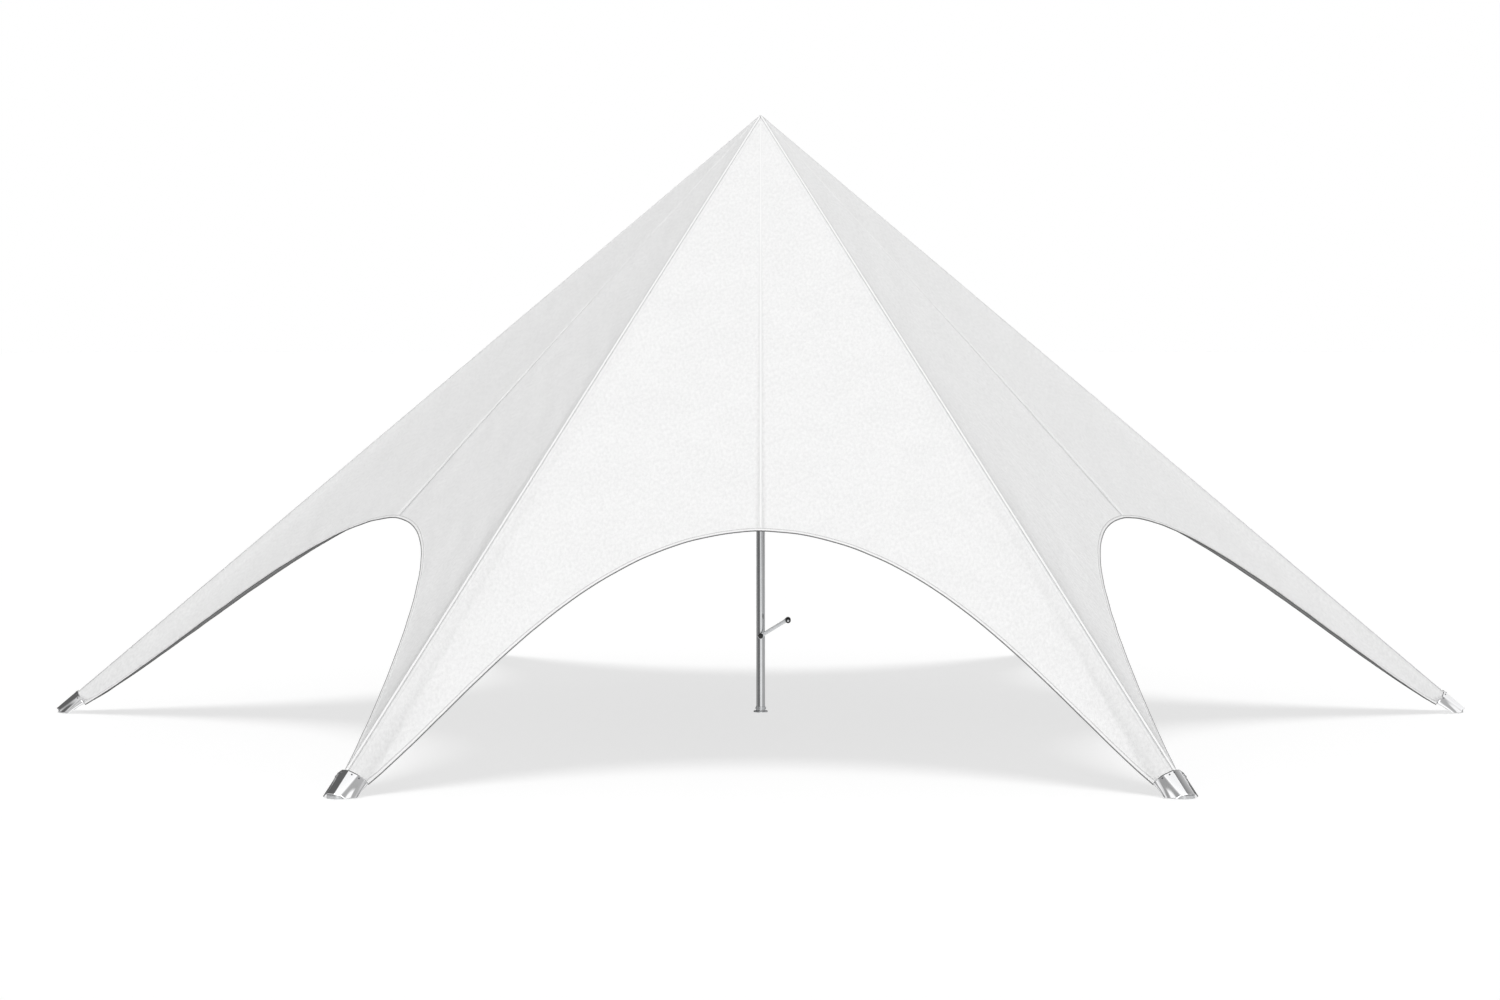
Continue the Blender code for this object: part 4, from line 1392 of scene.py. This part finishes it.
@dataclass(frozen=True)
class Crank:
    """The gear housing on the mast and the hand crank: hub, arm, pin and grip."""

    height: float = 0.763
    throw: float = 0.315
    angle: float = 31.4
    arm_end: float = 0.024
    arm_half: float = 0.018
    bevel: float = 0.0022
    screws: int = 3
    screw_inset: float = 0.012
    housing_bore: float = 0.012
    housing_depth: float = 0.022
    shaft: float = 0.010
    pin_rod: float = 0.008
    pin_seat: float = 0.005
    grip_bore: float = 0.0086
    grip_waist: float = 0.09
    shoulder: float = 0.006

    @property
    def grip_place(self) -> tuple[float, float]:
        """Side and height of the grip's axis."""
        turn = math.radians(self.angle)
        return self.throw * math.cos(turn), self.height + self.throw * math.sin(turn)

    def build(self, finishes: Finishes) -> list[bpy.types.Object]:
        """Makes the crank's pieces."""
        return [self.housing(finishes), self.hub(finishes), self.arm(finishes), self.pin(finishes),
                self.grip(finishes)]

    def housing(self, finishes: Finishes) -> bpy.types.Object:
        """The round housing that stands on the tube, with a stepped front and its bore."""
        low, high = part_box("crank_housing")
        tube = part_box("mast_lower_tube")[1].x
        front, radius, bore = -low.y, high.x, self.housing_bore
        profile = [(bore, front - self.housing_depth), (bore, front), (radius - 0.007, front),
                   (radius - 0.006, front - 0.004), (radius, front - 0.006), (radius, 0.0)]
        surface = turned(profile, 0.0015)
        rim = surface.points[-1]
        rim[:, 2] = np.sqrt(np.maximum(tube**2 - rim[:, 0] ** 2, 0.0)) - 0.001
        surface = surface.facing_front(0.0, self.height)
        head = fastener(Head.BUTTON, 0.0035, 0.0025)
        spots = [polar(radius - self.screw_inset, turn, front - 0.0004)
                 for turn in 2 * math.pi * np.arange(self.screws) / self.screws]
        heads = [head.moved(spot).facing_front(0.0, self.height) for spot in spots]
        return add_piece("gear_housing", [surface, *heads], finishes.steel, Body.BASE,
                         ("crank_housing",))

    def hub(self, finishes: Finishes) -> bpy.types.Object:
        """The round black cap in front of the arm, and the shaft behind it."""
        low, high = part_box("crank_hub")
        front, back, radius = -low.y, -high.y, high.x
        seat = -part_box("crank_arm")[0].y + PLAY
        profile = [(0.0, front), (radius - self.shoulder, front), (radius - 0.001, front - self.shoulder),
                   (radius, seat), (self.shaft, seat), (self.shaft, back), (0.0, back)]
        surface = turned(profile, 0.0025).facing_front(0.0, self.height)
        return add_piece("hub_cap", [surface], finishes.black, Body.CRANK, ("crank_hub",))

    def arm(self, finishes: Finishes) -> bpy.types.Object:
        """The flat bar between two round ends.

        Round each end it is a semicircle, and between them its half width is that of the bar, reached by a
        smooth step.
        """
        low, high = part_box("crank_arm")
        half_turn = np.linspace(-math.pi / 2, math.pi / 2, 17)
        straight = np.linspace(0.0, 1.0, 33)[1:-1]
        waist = self.arm_half + (self.arm_end - self.arm_half) * (1.0 - smooth_step(
            np.minimum(straight, 1.0 - straight) * self.throw, 0.004, 0.050))
        semicircle = self.arm_end * np.column_stack((np.cos(half_turn), np.sin(half_turn)))
        round_end = semicircle + (self.throw, 0.0)
        back_edge = np.column_stack((self.throw * (1.0 - straight), waist))
        near_end = -semicircle
        front_edge = np.column_stack((self.throw * straight, -waist))
        outline = np.concatenate((round_end, back_edge, near_end, front_edge, round_end[:1]))
        spine = np.column_stack((np.clip(outline[:, 0], 0.0, self.throw), np.zeros(len(outline))))
        surface = flat_plate(outline, spine, -high.y, -low.y, self.bevel).spun(math.radians(self.angle))
        surface = surface.facing_front(0.0, self.height)
        return add_piece("arm_bar", [surface], finishes.steel, Body.CRANK, ("crank_arm",))

    def pin(self, finishes: Finishes) -> bpy.types.Object:
        """The pin through the grip, with a domed head in front and a riveted end behind the arm."""
        low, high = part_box("grip_pin")
        front, back = -low.y, -high.y
        head = (high.x - low.x) / 2
        seat = -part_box("crank_grip")[0].y + self.pin_seat
        profile = [(0.0, front), (head * 0.8, front - 0.0006), (head, seat + 0.002), (head, seat),
                   (self.pin_rod, seat), (self.pin_rod, back), (0.0, back)]
        surface = turned(profile, 0.002, 48).facing_front(*self.grip_place)
        return add_piece("pin_rod", [surface], finishes.steel, Body.CRANK, ("grip_pin",))

    def grip(self, finishes: Finishes) -> bpy.types.Object:
        """The turning grip, waisted between two soft shoulders.

        Its radius along the way t from front to back is r (1 - waist sin^2(pi t)).
        """
        low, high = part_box("crank_grip")
        front, back, radius = -low.y, -high.y, (high.x - low.x) / 2
        t = np.linspace(0.04, 0.96, 25)
        radii = radius * (1.0 - self.grip_waist * np.sin(math.pi * t) ** 2)
        body = list(zip(radii, front + (back - front) * t))
        end = radius - self.shoulder
        profile = [(self.grip_bore, front), (end, front), *body, (end, back), (self.grip_bore, back)]
        surface = turned(profile, 0.002, closed=True).facing_front(*self.grip_place)
        return add_piece("grip_sleeve", [surface], finishes.black, Body.GRIP, ("crank_grip",))


# Studio


@dataclass(frozen=True)
class Card:
    """A bright card that only reflections see: its way, the cosines at its core and rim, and its strength."""

    way: Triple
    core: float
    rim: float
    strength: float


@dataclass(frozen=True)
class Studio:
    """Camera, white ground, surroundings and lights."""

    camera_place: Triple = (0.0, -32.772, 3.861)
    camera_dip: float = 0.05365  # radians below level
    lens: float = 79.832
    sensor: float = 36.0
    shift: float = -0.00713
    floor_radii: tuple[float, ...] = (0.0, 30.0, 400.0)
    floor_drop: float = 0.0005
    floor_glow: float = 0.673
    floor_white: float = 0.42
    top_light: float = 1.44
    top_angle: float = 37.0
    front_light: float = 1.54
    front_angle: float = 40.0
    front_rise: float = 34.0
    surround: float = 0.334
    from_below: float = 0.22
    mirror_base: float = 0.14
    cards: tuple[Card, ...] = (
        Card((0.0, -0.26, 0.966), 0.945, 0.885, 0.93),
        Card((0.12, -0.993, 0.0), 0.975, 0.84, 0.73),
        Card((0.75, -0.55, 0.37), 0.92, 0.55, 0.38),
        Card((0.717, 0.582, 0.384), 0.95, 0.80, 0.90),
        Card((0.971, 0.10, 0.22), 0.98, 0.88, 0.20),
        Card((-0.98, 0.12, 0.0), 0.97, 0.90, 0.22),
        Card((-0.944, 0.05, 0.325), 0.985, 0.945, 0.35),
        Card((-0.533, -0.763, 0.365), 0.98, 0.93, 0.60),
        Card((-0.60, -0.35, 0.72), 0.97, 0.90, 0.25),
        Card((-0.90, -0.12, 0.42), 0.985, 0.93, 0.50),
        Card((0.0, 0.0, -1.0), 0.24, 0.13, 0.80),
    )

    def build(self) -> None:
        """Makes the studio."""
        scene = bpy.context.scene
        scene.view_settings.view_transform = "Standard"
        self.camera()
        ground = self.floor()
        self.world()
        self.sun("top_light", 90.0, self.top_light, self.top_angle).visible_glossy = False
        self.keep_off(self.sun("front_light", self.front_rise, self.front_light, self.front_angle), ground)

    def camera(self) -> None:
        """The camera, in front of bay 5 and a little above head height."""
        data = bpy.data.cameras.new("camera")
        data.lens = self.lens
        data.sensor_width = self.sensor
        data.shift_x = self.shift
        data.clip_end = 2000.0
        item = bpy.data.objects.new("camera", data)
        item.location = self.camera_place
        item.rotation_euler = (math.pi / 2 - self.camera_dip, 0.0, 0.0)
        bpy.context.scene.collection.objects.link(item)
        bpy.context.scene.camera = item

    def floor(self) -> bpy.types.Object:
        """The white ground: a disc in rings, bright enough to fade into the surroundings."""
        angle = np.linspace(0.0, 2 * math.pi, 97)
        points = polar(np.array(self.floor_radii)[:, None], angle, -self.floor_drop)
        mesh = make_mesh("ground", [Surface(points, points[..., :2].copy())])
        graph = Graph.material("white_ground")
        dust = graph.noise(graph.place(), 3.0, 4.0, 0.6)
        level = self.floor_white
        colour = graph.tint(dust, grey(level - 0.004), grey(level + 0.004))
        mesh.materials.append(graph.finish(
            Base_Color=colour, Roughness=0.9, Specular_IOR_Level=0.0, Emission_Color=WHITE,
            Emission_Strength=self.floor_glow))
        item = bpy.data.objects.new("ground", mesh)
        item.visible_glossy = False
        item.visible_diffuse = False
        bpy.context.scene.collection.objects.link(item)
        return item

    def world(self) -> None:
        """White to the eye, even for the light, and for reflections darker with bright cards.

        A card's brightness is a smooth step of the cosine between the way looked and the card's own way.
        """
        world = bpy.data.worlds.new("surroundings")
        bpy.context.scene.world = world
        graph = Graph(world)
        graph.tree.nodes.clear()
        way = graph.node("TexCoord", {}, "Generated")
        mirrored: Any = self.mirror_base
        for card in self.cards:
            facing = graph.node("VectorMath", {0: way, 1: card.way}, "Value", operation="DOT_PRODUCT")
            glow = graph.remap(facing, (card.rim, card.core), (0.0, card.strength), "SMOOTHSTEP")
            mirrored = graph.calc("ADD", mirrored, glow)
        upward = graph.node("SeparateXYZ", {0: way}, "Z")
        lighting = graph.remap(upward, (-0.10, 0.02), (self.from_below, self.surround), "SMOOTHSTEP")
        eye, light, mirror = (graph.node("Background", {"Color": WHITE, "Strength": strength})
                              for strength in (1.0, lighting, mirrored))
        seen = graph.node("MixShader", {0: graph.node("LightPath", {}, "Is Glossy Ray"), 1: light, 2: mirror})
        seen = graph.node("MixShader", {0: graph.node("LightPath", {}, "Is Camera Ray"), 1: seen, 2: eye})
        graph.node("OutputWorld", {"Surface": seen}, output=None)

    def sun(self, name: str, rise: float, strength: float, spread: float) -> bpy.types.Object:
        """A broad distant light from the front.

        Args:
            name: the light's name.
            rise: degrees above the horizon.
            strength: its power in watts for each square metre.
            spread: its width in degrees, which softens the shadows.

        Returns:
            The light.
        """
        data = bpy.data.lights.new(name, "SUN")
        data.energy = strength
        data.angle = math.radians(spread)
        item = bpy.data.objects.new(name, data)
        item.rotation_euler = (math.radians(90.0 - rise), 0.0, 0.0)
        bpy.context.scene.collection.objects.link(item)
        return item

    def keep_off(self, light: bpy.types.Object, item: bpy.types.Object) -> None:
        """Lets a light shine on everything but one object."""
        group = bpy.data.collections.new(f"kept_off_{light.name}")
        light.light_linking.receiver_collection = group
        group.objects.link(item)
        group.collection_objects[0].light_linking.link_state = "EXCLUDE"


def main() -> None:
    """Builds the studio and the tent, piece by piece."""
    logging.basicConfig(level=logging.INFO, format="%(name)s: %(message)s")
    Studio().build()
    shape = CanopyShape()
    finishes = Finishes.make()
    for number in range(1, shape.bays + 1):
        for side in Side:
            BayPanel(shape, number, side).build(finishes)
        BaySeam(shape, number).build(finishes)
        RidgeTape(shape, number).build(finishes)
        ArchHem(shape, number).build(finishes)
        LegShoe(shape, number).build(finishes)
    PeakCap(shape).build(finishes)
    Mast().build(finishes)
    Crank().build(finishes)


if __name__ == "__main__":
    main()
